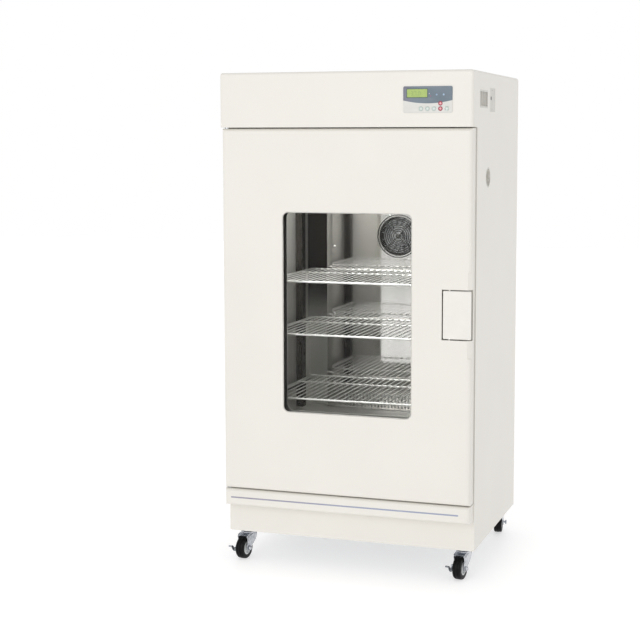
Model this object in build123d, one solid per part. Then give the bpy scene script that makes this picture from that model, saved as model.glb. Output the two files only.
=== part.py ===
from build123d import *
import math
import os

os.makedirs("parts", exist_ok=True)

# Overall size in millimetres. X runs to the right, Y to the back and Z up. The origin is on the floor,
# under the middle of the oven.
WIDTH = 740.0
TOP = 1428.0
FRONT = -257.0          # cabinet front plane, behind the door
REAR = 293.0            # rear edge of the side panels
HEAD_FRONT = -307.0     # front of the head, above the door
OUTER_FRONT = -309.0    # front of the control bezel
OUTER_BACK = 309.0      # back of the motor bulge on the rear cover
SHEET = 2.0
EDGE_ROUND = 8.0
RUNNING_GAP = 0.05      # radial clearance of a shaft in its bore
BODY_GAP = 0.3          # clearance between parts that move past each other
TOUCH = 0.01            # tolerance for finding an edge in a plane

# Levels of the front
BASE = 88.0             # underside of the base, on top of the casters
TRIM_BOTTOM = 175.0
TRIM_TOP = 224.0
DOOR_BOTTOM = 227.0
DOOR_TOP = 1271.0
HEAD_BOTTOM = 1274.0

# Door
DOOR_HALF = 367.0
DOOR_FRONT = -302.0
DOOR_BACK = -261.0
DOOR_ROUND = 10.0
WINDOW_X = (-184.0, 199.0)
WINDOW_Z = (461.0, 1037.0)
WINDOW_ROUND = 18.0
PANE_MARGIN = 12.0
PANE = 4.0
HINGE_X = -357.0
HINGE_Y = -283.0
HINGE_PIN_R = 4.0

# Paddle handle and its pocket in the right edge of the door
PADDLE_X = (287.0, 367.0)
PADDLE_Z = (693.0, 827.0)
PADDLE_BACK = -295.0
POCKET_GAP = 3.0
POCKET_FLOOR = -278.0
POCKET_WALL = 4.0
PADDLE_AXIS_X = 305.0
PADDLE_AXIS_Y = -297.0
TRUNNION_R = 2.5
SCOOP_Z = (640.0, 879.0)
SCOOP = 10.0
RELEASE_X = 293.0
RELEASE_R = 3.0

# Chamber
CHAMBER_HALF = 290.0
CHAMBER_Z = (388.0, 1190.0)
CHAMBER_BACK = 213.0
INSULATION_X = 360.0
INSULATION_Z = (330.0, 1250.0)
INSULATION_BACK = 249.0

# Air duct panel, fan and heater at the back of the chamber
DUCT_FRONT = 178.0
DUCT_HALF = 198.0
DUCT_FLANGE = (20.0, 8.0)
DUCT_Z = (390.0, 1186.0)
SLOT_Z = (396.0, 436.0)
SLOT_PITCH = 11.0
SLOT_WIDTH = 5.0
SLOT_COUNT = 29
FAN_X = 20.0
FAN_Z = 941.0
FAN_HOLE_R = 60.0
FAN_R = 56.0
FAN_Y = (190.0, 210.0)
FAN_BLADES = 16
FAN_SHAFT_R = 4.0
GUARD_RINGS = 9
GUARD_R = 68.0
GUARD_WIRE = 1.6
HEATER_R = 78.0
HEATER_TUBE = 4.0
MOTOR_Y = (251.0, 298.0)
MOTOR_R = 38.0
MOTOR_POST = 36.0       # distance of each carrying post from the shaft, along X and along Z
MOTOR_POST_R = 4.0

# Wire shelves: height of the frame rods' centre line
SHELF_LEVELS = {"upper": 832.0, "middle": 678.0, "lower": 490.0}
SHELF_HALF = 262.5
SHELF_Y = (-235.0, 164.0)
SHELF_ROD_R = 3.0
SHELF_WIRE_R = 1.6
SHELF_WIRES = 26
SHELF_WIRE_SPAN = 247.0
SHELF_CROSS_Y = 43.0
UPRIGHT_Y = ((-245.0, -215.0), (93.0, 123.0))
UPRIGHT_Z = (400.0, 1180.0)
UPRIGHT_DEPTH = 22.0
UPRIGHT_SLOTS = 26
RUNNER_Y = (-248.0, 126.0)

# Control module on the head
BEZEL_X = (174.0, 312.0)
BEZEL_Z = (1312.0, 1384.0)
BEZEL_ROUND = 4.0
DISPLAY_X = (185.0, 241.5)
DISPLAY_Z = (1354.5, 1376.0)
KEY_R = 5.8
KEY_CENTRES = [(224.0, 1323.3), (242.3, 1323.3), (260.5, 1323.3), (278.6, 1323.3), (296.4, 1323.3),
               (278.6, 1337.5)]
KEY_COLLAR_R = 6.8
BEZEL_BACK = -299.0
BOARD_FRONT = -291.0
BOARD = 1.6
BOARD_POST_Z = (1345.0, 1374.0)

# Fittings in the right side panel
VENT_Y = (-230.0, -131.0)
VENT_Z = (1327.0, 1377.0)
VENT_SLOTS = 4
PLATE_Y = (-106.0, -37.0)
PLATE_Z = (1319.0, 1385.0)
RESET_Y = -88.0
RESET_Z = 1356.5
RESET_R = 4.0
PORT_Y = -119.0
PORT_Z = 1133.5
PORT_R = 25.0
PORT_OUTER_R = 29.0
GLAND_X = 270.0
GLAND_Z = 150.0

# Casters: swivel centre, and the turn of the fork about it, in degrees
CASTERS = {"front_left": (-330.0, -212.0, -8.0), "front_right": (330.0, -212.0, -8.0),
           "rear_left": (-330.0, 243.0, 174.0), "rear_right": (330.0, 243.0, 187.0)}
BRAKED = ("front_left", "front_right")
WHEEL_R = 32.5
WHEEL_WIDTH = 25.0
HUB_R = 20.0
TRAIL = 28.0
AXLE_R = 4.0
LEG_X = (14.5, 17.0)
KINGPIN_R = 5.0
LEVER_REACH = (29.0, 46.0)  # how far the brake's tab stands out sideways, and forward of the axle


def block(x, y, z):
    """A box from pairs of low and high coordinates."""
    size = (x[1] - x[0], y[1] - y[0], z[1] - z[0])
    return Pos((x[0] + x[1]) / 2, (y[0] + y[1]) / 2, (z[0] + z[1]) / 2) * Box(*size)


def rod(start, end, radius):
    """A round bar between two points."""
    run = Vector(*end) - Vector(*start)
    return extrude(Plane(origin=start, z_dir=run) * Circle(radius), amount=run.length)


def tablet(x, y, z, radius):
    """A plate whose outline, seen from the front, has rounded corners."""
    plane = Plane(origin=((x[0] + x[1]) / 2, y[0], (z[0] + z[1]) / 2), x_dir=(1, 0, 0), z_dir=(0, 1, 0))
    return extrude(plane * RectangleRounded(x[1] - x[0], z[1] - z[0], radius), amount=y[1] - y[0])


def side_prism(points, x):
    """An outline of (y, z) points, extruded across the width from x[0] to x[1]."""
    outline = Polyline(*[(x[0], py, pz) for py, pz in points], close=True)
    return extrude(make_face(outline), amount=x[1] - x[0], dir=(1, 0, 0))


def grown(pair, margin):
    return (pair[0] - margin, pair[1] + margin)


def front_edges(solid, y):
    """The edges that lie in the plane at this y."""
    found = []
    for edge in solid.edges():
        span = edge.bounding_box()
        if abs(span.min.Y - y) < TOUCH and abs(span.max.Y - y) < TOUCH:
            found.append(edge)
    return found


# Outer sheet-metal cabinet

def shell_envelope(inset, radius):
    """The cabinet's side outline with its forward head, rounded along the top and the head's corners.

    An inset body runs on past the bottom and the back, where the shell is open.
    """
    half = WIDTH / 2 - inset
    past = 10 * inset
    low, back = BASE - past, REAR + past
    profile = [(FRONT, low), (back, low), (back, TOP - inset), (HEAD_FRONT + inset, TOP - inset),
               (HEAD_FRONT + inset, HEAD_BOTTOM + inset), (FRONT, HEAD_BOTTOM + inset)]
    solid = side_prism(profile, (-half, half))
    rounded = []
    for edge in solid.edges():
        span = edge.bounding_box()
        on_top = span.min.Z > TOP - inset - TOUCH
        on_back = span.min.Y > back - TOUCH
        on_front = span.max.Y < HEAD_FRONT + inset + TOUCH
        upright = span.size.Z > 1
        if (on_top and not on_back) or (on_front and upright):
            rounded.append(edge)
    return fillet(rounded, radius)


def build_shell():
    """Side panels, top panel and head front, cut from one thin shell so that their edges meet."""
    shell = shell_envelope(0.0, EDGE_ROUND) - shell_envelope(SHEET, EDGE_ROUND - SHEET)
    inner = WIDTH / 2 - EDGE_ROUND
    seam = HEAD_FRONT + EDGE_ROUND
    full = (-WIDTH, WIDTH)
    nose = block(full, (HEAD_FRONT - 5, seam), (HEAD_BOTTOM - 5, TOP + 5))
    underside = block((-inner, inner), (seam - 1, FRONT + 1), (HEAD_BOTTOM - 1, HEAD_BOTTOM + SHEET))
    head_zone = nose + underside
    head = shell & head_zone
    rest = shell - head_zone
    tall = (0, TOP + 5)
    deep = (HEAD_FRONT - 5, REAR + 5)
    left = rest & block((-WIDTH, -inner), deep, tall)
    right = rest & block((inner, WIDTH), deep, tall)
    top = rest & block((-inner, inner), deep, (TOP - 40, TOP + 5))

    head -= block(grown(BEZEL_X, -3), (HEAD_FRONT - 1, HEAD_FRONT + 5), grown(BEZEL_Z, -3))
    head -= rod((HINGE_X, HINGE_Y, HEAD_BOTTOM - 1), (HINGE_X, HINGE_Y, HEAD_BOTTOM + 5), HINGE_PIN_R + 0.5)
    wall = (WIDTH / 2 - 5, WIDTH / 2 + 1)
    right -= block(wall, VENT_Y, VENT_Z)
    right -= block(wall, PLATE_Y, PLATE_Z)
    right -= rod((wall[0], PORT_Y, PORT_Z), (wall[1], PORT_Y, PORT_Z), PORT_OUTER_R)
    return {"left_side_panel": left, "right_side_panel": right, "top_panel": top, "head_front_panel": head}


def build_frame():
    """Front frame with the chamber opening and the plinth front, the base pan and the rear cover."""
    half = WIDTH / 2 - SHEET
    frame = block((-half, half), (FRONT, FRONT + SHEET), (BASE, HEAD_BOTTOM))
    frame -= block((-CHAMBER_HALF, CHAMBER_HALF), (FRONT - 1, FRONT + 5), CHAMBER_Z)

    base = block((-half, half), (FRONT + SHEET, REAR - SHEET), (BASE, BASE + 3))

    rear = tablet((-half, half), (REAR - SHEET, REAR), (BASE, TOP - SHEET), EDGE_ROUND)
    bulge_x, bulge_z = (FAN_X - 80, FAN_X + 80), (FAN_Z - 80, FAN_Z + 80)
    rear += block(bulge_x, (REAR - SHEET, OUTER_BACK), bulge_z)
    rear -= block(grown(bulge_x, -SHEET), (REAR - SHEET - 1, OUTER_BACK - SHEET), grown(bulge_z, -SHEET))
    for i in range(9):
        z = FAN_Z - 60 + i * 15
        rear -= block((FAN_X - 60, FAN_X + 60), (OUTER_BACK - 5, OUTER_BACK + 1), (z - 2.5, z + 2.5))
    for i in range(8):
        z = 230 + i * 16
        rear -= block((-150, 150), (REAR - 5, REAR + 1), (z - 3, z + 3))
    rear -= rod((GLAND_X, REAR - 5, GLAND_Z), (GLAND_X, REAR + 1, GLAND_Z), 8)
    return {"front_frame": frame, "base_pan": base, "rear_cover": rear}


def build_lower_trim():
    """The fixed panel below the door: a tray, open at the back, with the door's rounded edges."""
    across, level = (-DOOR_HALF, DOOR_HALF), (TRIM_BOTTOM, TRIM_TOP)
    tray = block(across, (DOOR_FRONT, FRONT), level)
    tray = fillet(front_edges(tray, DOOR_FRONT), DOOR_ROUND)
    tray -= block(grown(across, -SHEET), (DOOR_FRONT + SHEET + 4, FRONT + 1), grown(level, -SHEET))
    tray -= rod((HINGE_X, HINGE_Y, TRIM_TOP - 5), (HINGE_X, HINGE_Y, TRIM_TOP + 1), HINGE_PIN_R + 0.5)
    return {"lower_trim": tray}


def build_hinges():
    """Pivot hinges: plates inside the head and the lower trim, each with a collared pin."""
    plate_x, plate_y = (-364.0, -330.0), (-295.0, -262.0)
    centre = (HINGE_X, HINGE_Y)
    upper = block(plate_x, plate_y, (HEAD_BOTTOM + SHEET, HEAD_BOTTOM + SHEET + 4))
    upper += rod((*centre, DOOR_TOP - 20), (*centre, HEAD_BOTTOM + SHEET), HINGE_PIN_R)
    upper += rod((*centre, DOOR_TOP + BODY_GAP), (*centre, HEAD_BOTTOM), 2 * HINGE_PIN_R)
    lower = block(plate_x, plate_y, (TRIM_TOP - SHEET - 4, TRIM_TOP - SHEET))
    lower += rod((*centre, TRIM_TOP - SHEET), (*centre, DOOR_BOTTOM + 20), HINGE_PIN_R)
    lower += rod((*centre, TRIM_TOP), (*centre, DOOR_BOTTOM - BODY_GAP), 2 * HINGE_PIN_R)
    return {"hinge_brackets": Compound([upper, lower])}


# Heated chamber and what it holds

def motor_posts():
    """The (x, z) places of the four posts that carry the fan motor."""
    return [(FAN_X + across * MOTOR_POST, FAN_Z + up * MOTOR_POST) for across in (-1, 1) for up in (-1, 1)]


def build_chamber():
    """Stainless liner, open at the front, with its right wall as a separate sheet, and the wool jacket."""
    inside_x = (-CHAMBER_HALF, CHAMBER_HALF)
    liner = block(grown(inside_x, SHEET), (FRONT + SHEET, CHAMBER_BACK + SHEET), grown(CHAMBER_Z, SHEET))
    liner -= block(inside_x, (FRONT, CHAMBER_BACK), CHAMBER_Z)
    liner -= rod((FAN_X, CHAMBER_BACK - 1, FAN_Z), (FAN_X, CHAMBER_BACK + 5, FAN_Z), 8)
    liner -= rod((CHAMBER_HALF - 1, PORT_Y, PORT_Z), (CHAMBER_HALF + 5, PORT_Y, PORT_Z), PORT_R)
    beyond = block((CHAMBER_HALF, CHAMBER_HALF + 5), (FRONT, CHAMBER_BACK + 5), grown(CHAMBER_Z, 5))
    wrap, right_wall = liner - beyond, liner & beyond

    clear = SHEET + 0.5
    jacket = block((-INSULATION_X, INSULATION_X), (FRONT + SHEET, INSULATION_BACK), INSULATION_Z)
    jacket -= block(grown(inside_x, clear), (FRONT, CHAMBER_BACK + clear), grown(CHAMBER_Z, clear))
    jacket -= rod((FAN_X, CHAMBER_BACK, FAN_Z), (FAN_X, INSULATION_BACK + 1, FAN_Z), 20)
    for x, z in motor_posts():
        jacket -= rod((x, CHAMBER_BACK, z), (x, INSULATION_BACK + 1, z), MOTOR_POST_R + 1)
    jacket -= rod((CHAMBER_HALF, PORT_Y, PORT_Z), (WIDTH / 2, PORT_Y, PORT_Z), PORT_OUTER_R + 0.5)
    return {"chamber_liner": Compound([wrap, right_wall]), "chamber_insulation": jacket}


def build_duct_panel():
    """Back air panel: bent side flanges, the fan's hole and a row of vertical slots at the bottom."""
    out, back = DUCT_FLANGE
    half, y = DUCT_HALF, DUCT_FRONT
    section = [(-half - out, y + back), (-half, y), (half, y), (half + out, y + back),
               (half + out, y + back + SHEET), (half, y + SHEET), (-half, y + SHEET),
               (-half - out, y + back + SHEET)]
    outline = Polyline(*[(px, py, DUCT_Z[0]) for px, py in section], close=True)
    panel = extrude(make_face(outline), amount=DUCT_Z[1] - DUCT_Z[0], dir=(0, 0, 1))
    panel -= rod((FAN_X, y - 1, FAN_Z), (FAN_X, y + 5, FAN_Z), FAN_HOLE_R)
    first = -SLOT_PITCH * (SLOT_COUNT - 1) / 2
    for i in range(SLOT_COUNT):
        x = first + i * SLOT_PITCH
        panel -= block((x - SLOT_WIDTH / 2, x + SLOT_WIDTH / 2), (y - 1, y + 5), SLOT_Z)
    for x in (-160.0, 160.0):
        for z in (480.0, 1160.0):
            panel += rod((x, y + SHEET, z), (x, CHAMBER_BACK, z), 5)
    return {"duct_panel": panel}


def build_fan_guard():
    """Concentric wire rings on four spokes, with a hub disc."""
    y = DUCT_FRONT - GUARD_WIRE
    front = Plane(origin=(FAN_X, y, FAN_Z), x_dir=(1, 0, 0), z_dir=(0, 1, 0))
    guard = extrude(front * Circle(8), amount=GUARD_WIRE)
    for i in range(GUARD_RINGS):
        r = GUARD_R - GUARD_WIRE - i * 6.4
        guard += extrude(front * (Circle(r + GUARD_WIRE) - Circle(r - GUARD_WIRE)), amount=GUARD_WIRE)
    for angle in (0, 90):
        guard += extrude(front * (Rot(0, 0, 45 + angle) * Rectangle(2 * GUARD_R - 4, 3)), amount=GUARD_WIRE)
    return {"fan_guard": guard}


def build_fan():
    """Radial fan wheel on its shaft, the motor on posts behind the wool, and the ring heater."""
    def centre(y):
        return (FAN_X, y, FAN_Z)

    y0, y1 = FAN_Y
    wheel = rod(centre(y1 - 2), centre(y1), FAN_R)
    wheel += rod(centre(y0), centre(y1), 12)
    blade = block((30.0, FAN_R), (y0, y1), (-0.8, 0.8))
    for i in range(FAN_BLADES):
        turn = Pos(FAN_X, 0, FAN_Z) * Rot(0, i * 360 / FAN_BLADES, 0) * Pos(0, 0, 12)
        wheel += turn * blade
    wheel = wheel & rod(centre(y0 - 1), centre(y1 + 1), FAN_R)
    wheel += rod(centre(y1), centre(MOTOR_Y[0] + 25), FAN_SHAFT_R)

    motor = rod(centre(MOTOR_Y[0]), centre(MOTOR_Y[1]), MOTOR_R)
    flange = MOTOR_POST + 9
    motor += block(grown((FAN_X, FAN_X), flange), (MOTOR_Y[0], MOTOR_Y[0] + 4), grown((FAN_Z, FAN_Z), flange))
    for x, z in motor_posts():
        motor += rod((x, CHAMBER_BACK + SHEET, z), (x, MOTOR_Y[0], z), MOTOR_POST_R)
    motor -= rod(centre(MOTOR_Y[0] - 1), centre(MOTOR_Y[0] + 27), FAN_SHAFT_R + RUNNING_GAP)

    y = (FAN_Y[0] + FAN_Y[1]) / 2
    heater = Pos(FAN_X, y, FAN_Z) * Rot(90, 0, 0) * Torus(HEATER_R, HEATER_TUBE)
    for side in (-1, 1):
        x = FAN_X + side * 20
        z = FAN_Z - math.sqrt(HEATER_R ** 2 - 20 ** 2)
        heater += rod((x, y, z), (x, CHAMBER_BACK, z), HEATER_TUBE - 0.5)
    return {"fan_wheel": wheel, "fan_motor": motor, "heating_element": heater}


def build_probe():
    """Thin sheathed temperature sensor, held out from the air panel above the fan guard."""
    foot = (FAN_X - 52, DUCT_FRONT, FAN_Z + 92)
    elbow = (foot[0], DUCT_FRONT - 14, foot[2])
    tip = (FAN_X - 22, DUCT_FRONT - 14, FAN_Z + 64)
    probe = rod(foot, elbow, 2) + Pos(*elbow) * Sphere(2) + rod(elbow, tip, 2)
    probe += rod(foot, (foot[0], DUCT_FRONT - 4, foot[2]), 6)
    return {"temperature_probe": probe}


def build_shelf_supports():
    """Four slotted channels on the side walls, and an angle runner each side under every shelf."""
    uprights = []
    runners = []
    pitch = (UPRIGHT_Z[1] - UPRIGHT_Z[0]) / UPRIGHT_SLOTS
    face = CHAMBER_HALF - UPRIGHT_DEPTH
    for side in (-1, 1):
        for y in UPRIGHT_Y:
            channel = block(sorted((side * face, side * CHAMBER_HALF)), y, UPRIGHT_Z)
            hollow = sorted((side * (face + SHEET), side * (CHAMBER_HALF + 1)))
            channel -= block(hollow, grown(y, -SHEET), grown(UPRIGHT_Z, 1))
            middle = (y[0] + y[1]) / 2
            for i in range(UPRIGHT_SLOTS):
                z = UPRIGHT_Z[0] + (i + 0.5) * pitch
                wall = sorted((side * (face - 1), side * (face + SHEET + 1)))
                channel -= block(wall, (middle - 6, middle + 6), (z - 2.5, z + 2.5))
            uprights.append(channel)
        for level in SHELF_LEVELS.values():
            top = level - SHELF_ROD_R - BODY_GAP
            leg = block(sorted((side * (face - 1.5), side * face)), RUNNER_Y, (top - 14, top))
            ledge = block(sorted((side * (face - 16), side * face)), RUNNER_Y, (top - 1.5, top))
            runners.append(leg + ledge)
    return {"shelf_uprights": Compound(uprights), "shelf_runners": Compound(runners)}


def build_shelf(level):
    """Welded wire shelf: a rod frame, one rod across the middle and a row of thin wires on top."""
    y0, y1 = SHELF_Y
    corners = [(-SHELF_HALF, y0, level), (SHELF_HALF, y0, level), (SHELF_HALF, y1, level),
               (-SHELF_HALF, y1, level)]
    shelf = Sphere(SHELF_ROD_R).moved(Location(corners[0]))
    for start, end in zip(corners, corners[1:] + corners[:1]):
        shelf += rod(start, end, SHELF_ROD_R)
        shelf += Sphere(SHELF_ROD_R).moved(Location(end))
    shelf += rod((-SHELF_HALF, SHELF_CROSS_Y, level), (SHELF_HALF, SHELF_CROSS_Y, level), SHELF_ROD_R - 0.5)
    wire_z = level + SHELF_ROD_R
    wires = []
    for i in range(SHELF_WIRES):
        x = -SHELF_WIRE_SPAN + 2 * SHELF_WIRE_SPAN * i / (SHELF_WIRES - 1)
        wires.append(rod((x, y0, wire_z), (x, y1, wire_z), SHELF_WIRE_R))
    return shelf.fuse(*wires)


# Door

def scoop_bevel(inset):
    """What is cut from the door's right front corner to make room for a hand at the handle."""
    deep = SCOOP * math.sqrt(2) + 2 * inset
    corner = Pos(DOOR_HALF, DOOR_FRONT, sum(SCOOP_Z) / 2) * Rot(0, 0, -45)
    return corner * Box(deep, 5 * SCOOP, SCOOP_Z[1] - SCOOP_Z[0] + 2 * inset)


def door_body(inset, back, radius):
    """The door's outer form, drawn in by the inset, with rounded front edges and the bevel."""
    solid = block(grown((-DOOR_HALF, DOOR_HALF), -inset), (DOOR_FRONT + inset, back),
                  grown((DOOR_BOTTOM, DOOR_TOP), -inset))
    solid = fillet(front_edges(solid, DOOR_FRONT + inset), radius)
    return solid - scoop_bevel(inset)


def build_door():
    """Folded outer skin, stainless inner panel with the window tunnel, wool, glass and seal."""
    skin = door_body(0.0, DOOR_BACK, DOOR_ROUND) - door_body(SHEET, DOOR_BACK + 5, DOOR_ROUND - SHEET)
    skin -= tablet(WINDOW_X, (DOOR_FRONT - 1, DOOR_FRONT + 5), WINDOW_Z, WINDOW_ROUND)
    pocket_x = (PADDLE_X[0] - POCKET_GAP, DOOR_HALF + 5)
    pocket_z = grown(PADDLE_Z, POCKET_GAP)
    skin -= block(pocket_x, (DOOR_FRONT - 1, POCKET_FLOOR), pocket_z)

    inner_x, inner_z = grown((-DOOR_HALF, DOOR_HALF), -SHEET), grown((DOOR_BOTTOM, DOOR_TOP), -SHEET)
    inner = block(inner_x, (DOOR_BACK - SHEET, DOOR_BACK), inner_z)
    tunnel_x, tunnel_z = grown(WINDOW_X, PANE_MARGIN + 4), grown(WINDOW_Z, PANE_MARGIN + 4)
    tunnel_y = (DOOR_FRONT + SHEET, DOOR_BACK - SHEET)
    tunnel = block(tunnel_x, tunnel_y, tunnel_z)
    inner += tunnel - block(grown(tunnel_x, -SHEET), tunnel_y, grown(tunnel_z, -SHEET))
    inner -= tablet(WINDOW_X, (DOOR_BACK - 5, DOOR_BACK + 1), WINDOW_Z, WINDOW_ROUND)
    middle = sum(PADDLE_Z) / 2
    hole = RELEASE_R + BODY_GAP
    inner -= rod((RELEASE_X, DOOR_BACK - 5, middle), (RELEASE_X, DOOR_BACK + 1, middle), hole)

    pane_x, pane_z = grown(WINDOW_X, PANE_MARGIN), grown(WINDOW_Z, PANE_MARGIN)
    outer_pane = tablet(pane_x, (tunnel_y[0], tunnel_y[0] + PANE), pane_z, 4)
    inner_pane = tablet(pane_x, (tunnel_y[1] - PANE, tunnel_y[1]), pane_z, 4)

    wool_y = (DOOR_FRONT + 12, DOOR_BACK - SHEET - 1)
    wool = block(grown(inner_x, -2), wool_y, grown(inner_z, -2))
    wool -= block(grown(tunnel_x, 1), (wool_y[0] - 1, wool_y[1] + 1), grown(tunnel_z, 1))
    wool -= block((pocket_x[0] - 6, DOOR_HALF), (wool_y[0] - 1, wool_y[1] + 1), grown(SCOOP_Z, 4))
    for z in (inner_z[0], inner_z[1]):
        wool -= block((HINGE_X - 15, HINGE_X + 15), (wool_y[0] - 1, wool_y[1] + 1), (z - 30, z + 30))

    seal_x, seal_z = grown((-CHAMBER_HALF, CHAMBER_HALF), 28), grown(CHAMBER_Z, 28)
    seal_y = (DOOR_BACK, FRONT - 0.4)
    seal = tablet(seal_x, seal_y, seal_z, 30) - tablet(grown(seal_x, -18), seal_y, grown(seal_z, -18), 12)
    seal -= tablet(grown(seal_x, -6), (FRONT - 2, FRONT), grown(seal_z, -6), 24) - tablet(
        grown(seal_x, -12), (FRONT - 2, FRONT), grown(seal_z, -12), 18)

    bushes = []
    centre = (HINGE_X, HINGE_Y)
    for low, high in ((DOOR_TOP - 22, DOOR_TOP), (DOOR_BOTTOM, DOOR_BOTTOM + 22)):
        bush = rod((*centre, low), (*centre, high), 7)
        skin -= rod((*centre, low - 1), (*centre, high + 1), 7)
        bushes.append(bush - rod((*centre, low - 1), (*centre, high + 1), HINGE_PIN_R + RUNNING_GAP))
    return {"door_skin": skin, "door_inner_panel": inner, "window_panes": Compound([outer_pane, inner_pane]),
            "door_insulation": wool, "door_gasket": seal, "hinge_bushes": Compound(bushes)}


def build_handle():
    """Pocket in the door's edge, the paddle that rocks in it, and the pin that it pushes."""
    wall = POCKET_WALL
    pocket_z = grown(PADDLE_Z, POCKET_GAP)
    x0 = PADDLE_X[0] - POCKET_GAP
    y0, y1 = DOOR_FRONT + SHEET, POCKET_FLOOR + SHEET
    cup = block((x0 - wall, DOOR_HALF - SHEET), (y0, y1), grown(pocket_z, wall))
    cup -= block((x0, DOOR_HALF), (y0 - 1, POCKET_FLOOR), pocket_z)
    cup -= scoop_bevel(SHEET)
    axis = (PADDLE_AXIS_X, PADDLE_AXIS_Y)
    trunnion_z = grown(PADDLE_Z, POCKET_GAP + wall - 1)
    cup -= rod((*axis, trunnion_z[0]), (*axis, trunnion_z[1]), TRUNNION_R + RUNNING_GAP)
    middle = sum(PADDLE_Z) / 2
    hole = RELEASE_R + BODY_GAP
    cup -= rod((RELEASE_X, POCKET_FLOOR - 1, middle), (RELEASE_X, POCKET_FLOOR + 5, middle), hole)

    paddle = block(PADDLE_X, (DOOR_FRONT, PADDLE_BACK), PADDLE_Z)
    right = [e for e in front_edges(paddle, DOOR_FRONT) if e.bounding_box().min.X > PADDLE_X[1] - 1]
    paddle = fillet(right, 5)
    paddle += rod((*axis, trunnion_z[0] + 0.3), (*axis, trunnion_z[1] - 0.3), TRUNNION_R)

    nose = (RELEASE_X, PADDLE_BACK + BODY_GAP + RELEASE_R, middle)
    pin = rod(nose, (RELEASE_X, DOOR_BACK - 0.5, middle), RELEASE_R) + Pos(*nose) * Sphere(RELEASE_R)
    return {"handle_cup": cup, "handle_paddle": paddle, "release_pin": pin}


# Controls and fittings

def build_controls():
    """Bezel with round key holes, display lens, collared keys and the circuit board on its posts."""
    bezel = tablet(BEZEL_X, (OUTER_FRONT, HEAD_FRONT), BEZEL_Z, BEZEL_ROUND)
    bezel += block(grown(BEZEL_X, -3), (HEAD_FRONT, BEZEL_BACK), grown(BEZEL_Z, -3))
    bezel -= block(DISPLAY_X, (OUTER_FRONT - 1, BEZEL_BACK + 1), DISPLAY_Z)
    for x in grown(BEZEL_X, -7):
        for z in BOARD_POST_Z:
            bezel += rod((x, BEZEL_BACK, z), (x, BOARD_FRONT, z), 2.5)
    keys = {}
    collar = BEZEL_BACK + BODY_GAP
    for number, (x, z) in enumerate(KEY_CENTRES, start=1):
        bezel -= rod((x, OUTER_FRONT - 1, z), (x, BEZEL_BACK + 1, z), KEY_R + BODY_GAP)
        key = rod((x, OUTER_FRONT, z), (x, collar, z), KEY_R)
        key += rod((x, collar, z), (x, collar + 1.2, z), KEY_COLLAR_R)
        key += rod((x, collar + 1.2, z), (x, BOARD_FRONT - 1.2, z), 2)
        keys[f"key_{number}"] = key
    lens = block(DISPLAY_X, (OUTER_FRONT + 0.4, BEZEL_BACK - 2), DISPLAY_Z)

    back = BOARD_FRONT + BOARD
    board = block(grown(BEZEL_X, -4), (BOARD_FRONT, back), grown(BEZEL_Z, -4))
    transformer = block((188, 236), (back, back + 18), (1340, 1372))
    relay = block((244, 262), (back, back + 12), (1345, 1365))
    capacitor = block((272, 298), (back, back + 20), (1346, 1370))
    board += transformer + relay + capacitor
    return {"control_bezel": bezel, "display_lens": lens, "control_board": board, **keys}


def build_side_fittings():
    """Vent grille, service plate with its thermostat, reset button, port sleeve and the cord's gland."""
    outer = WIDTH / 2
    grille = block((outer - 4, outer), VENT_Y, VENT_Z)
    rib = 5.0
    width = (VENT_Y[1] - VENT_Y[0] - rib * (VENT_SLOTS + 1)) / VENT_SLOTS
    for i in range(VENT_SLOTS):
        y = VENT_Y[0] + rib + i * (width + rib)
        grille -= block((outer - 5, outer + 1), (y, y + width), grown(VENT_Z, -5))

    plate = block((outer - 3, outer), PLATE_Y, PLATE_Z)
    plate += block((outer - 30, outer - 3), grown((RESET_Y, RESET_Y), 14), grown((RESET_Z, RESET_Z), 14))
    plate -= rod((outer - 20, RESET_Y, RESET_Z), (outer + 1, RESET_Y, RESET_Z), RESET_R + BODY_GAP)
    button = rod((outer - 15, RESET_Y, RESET_Z), (outer, RESET_Y, RESET_Z), RESET_R)

    sleeve = rod((CHAMBER_HALF + SHEET, PORT_Y, PORT_Z), (outer, PORT_Y, PORT_Z), PORT_OUTER_R)
    sleeve -= rod((CHAMBER_HALF, PORT_Y, PORT_Z), (outer + 1, PORT_Y, PORT_Z), PORT_R)

    gland = rod((GLAND_X, REAR - 8, GLAND_Z), (GLAND_X, REAR, GLAND_Z), 7.5)
    nut = Plane(origin=(GLAND_X, REAR, GLAND_Z), x_dir=(1, 0, 0), z_dir=(0, 1, 0)) * RegularPolygon(13, 6)
    gland += extrude(nut, amount=7) + rod((GLAND_X, REAR + 7, GLAND_Z), (GLAND_X, REAR + 14, GLAND_Z), 9)
    gland -= rod((GLAND_X, REAR - 9, GLAND_Z), (GLAND_X, REAR + 15, GLAND_Z), 4.5)
    return {"side_vent_grille": grille, "service_plate": plate, "reset_button": button,
            "test_port_sleeve": sleeve, "cable_gland": gland}


# Casters, each drawn with its swivel axis on Z and its wheel trailing towards the front

def caster_plate():
    """Top plate with the raceway, and the hole for the kingpin."""
    plate = block((-30, 30), (-30, 30), (BASE - 3, BASE))
    plate += rod((0, 0, BASE - 8.5), (0, 0, BASE - 3), 20)
    return plate - rod((0, 0, BASE - 9), (0, 0, BASE + 1), KINGPIN_R + RUNNING_GAP)


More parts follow.
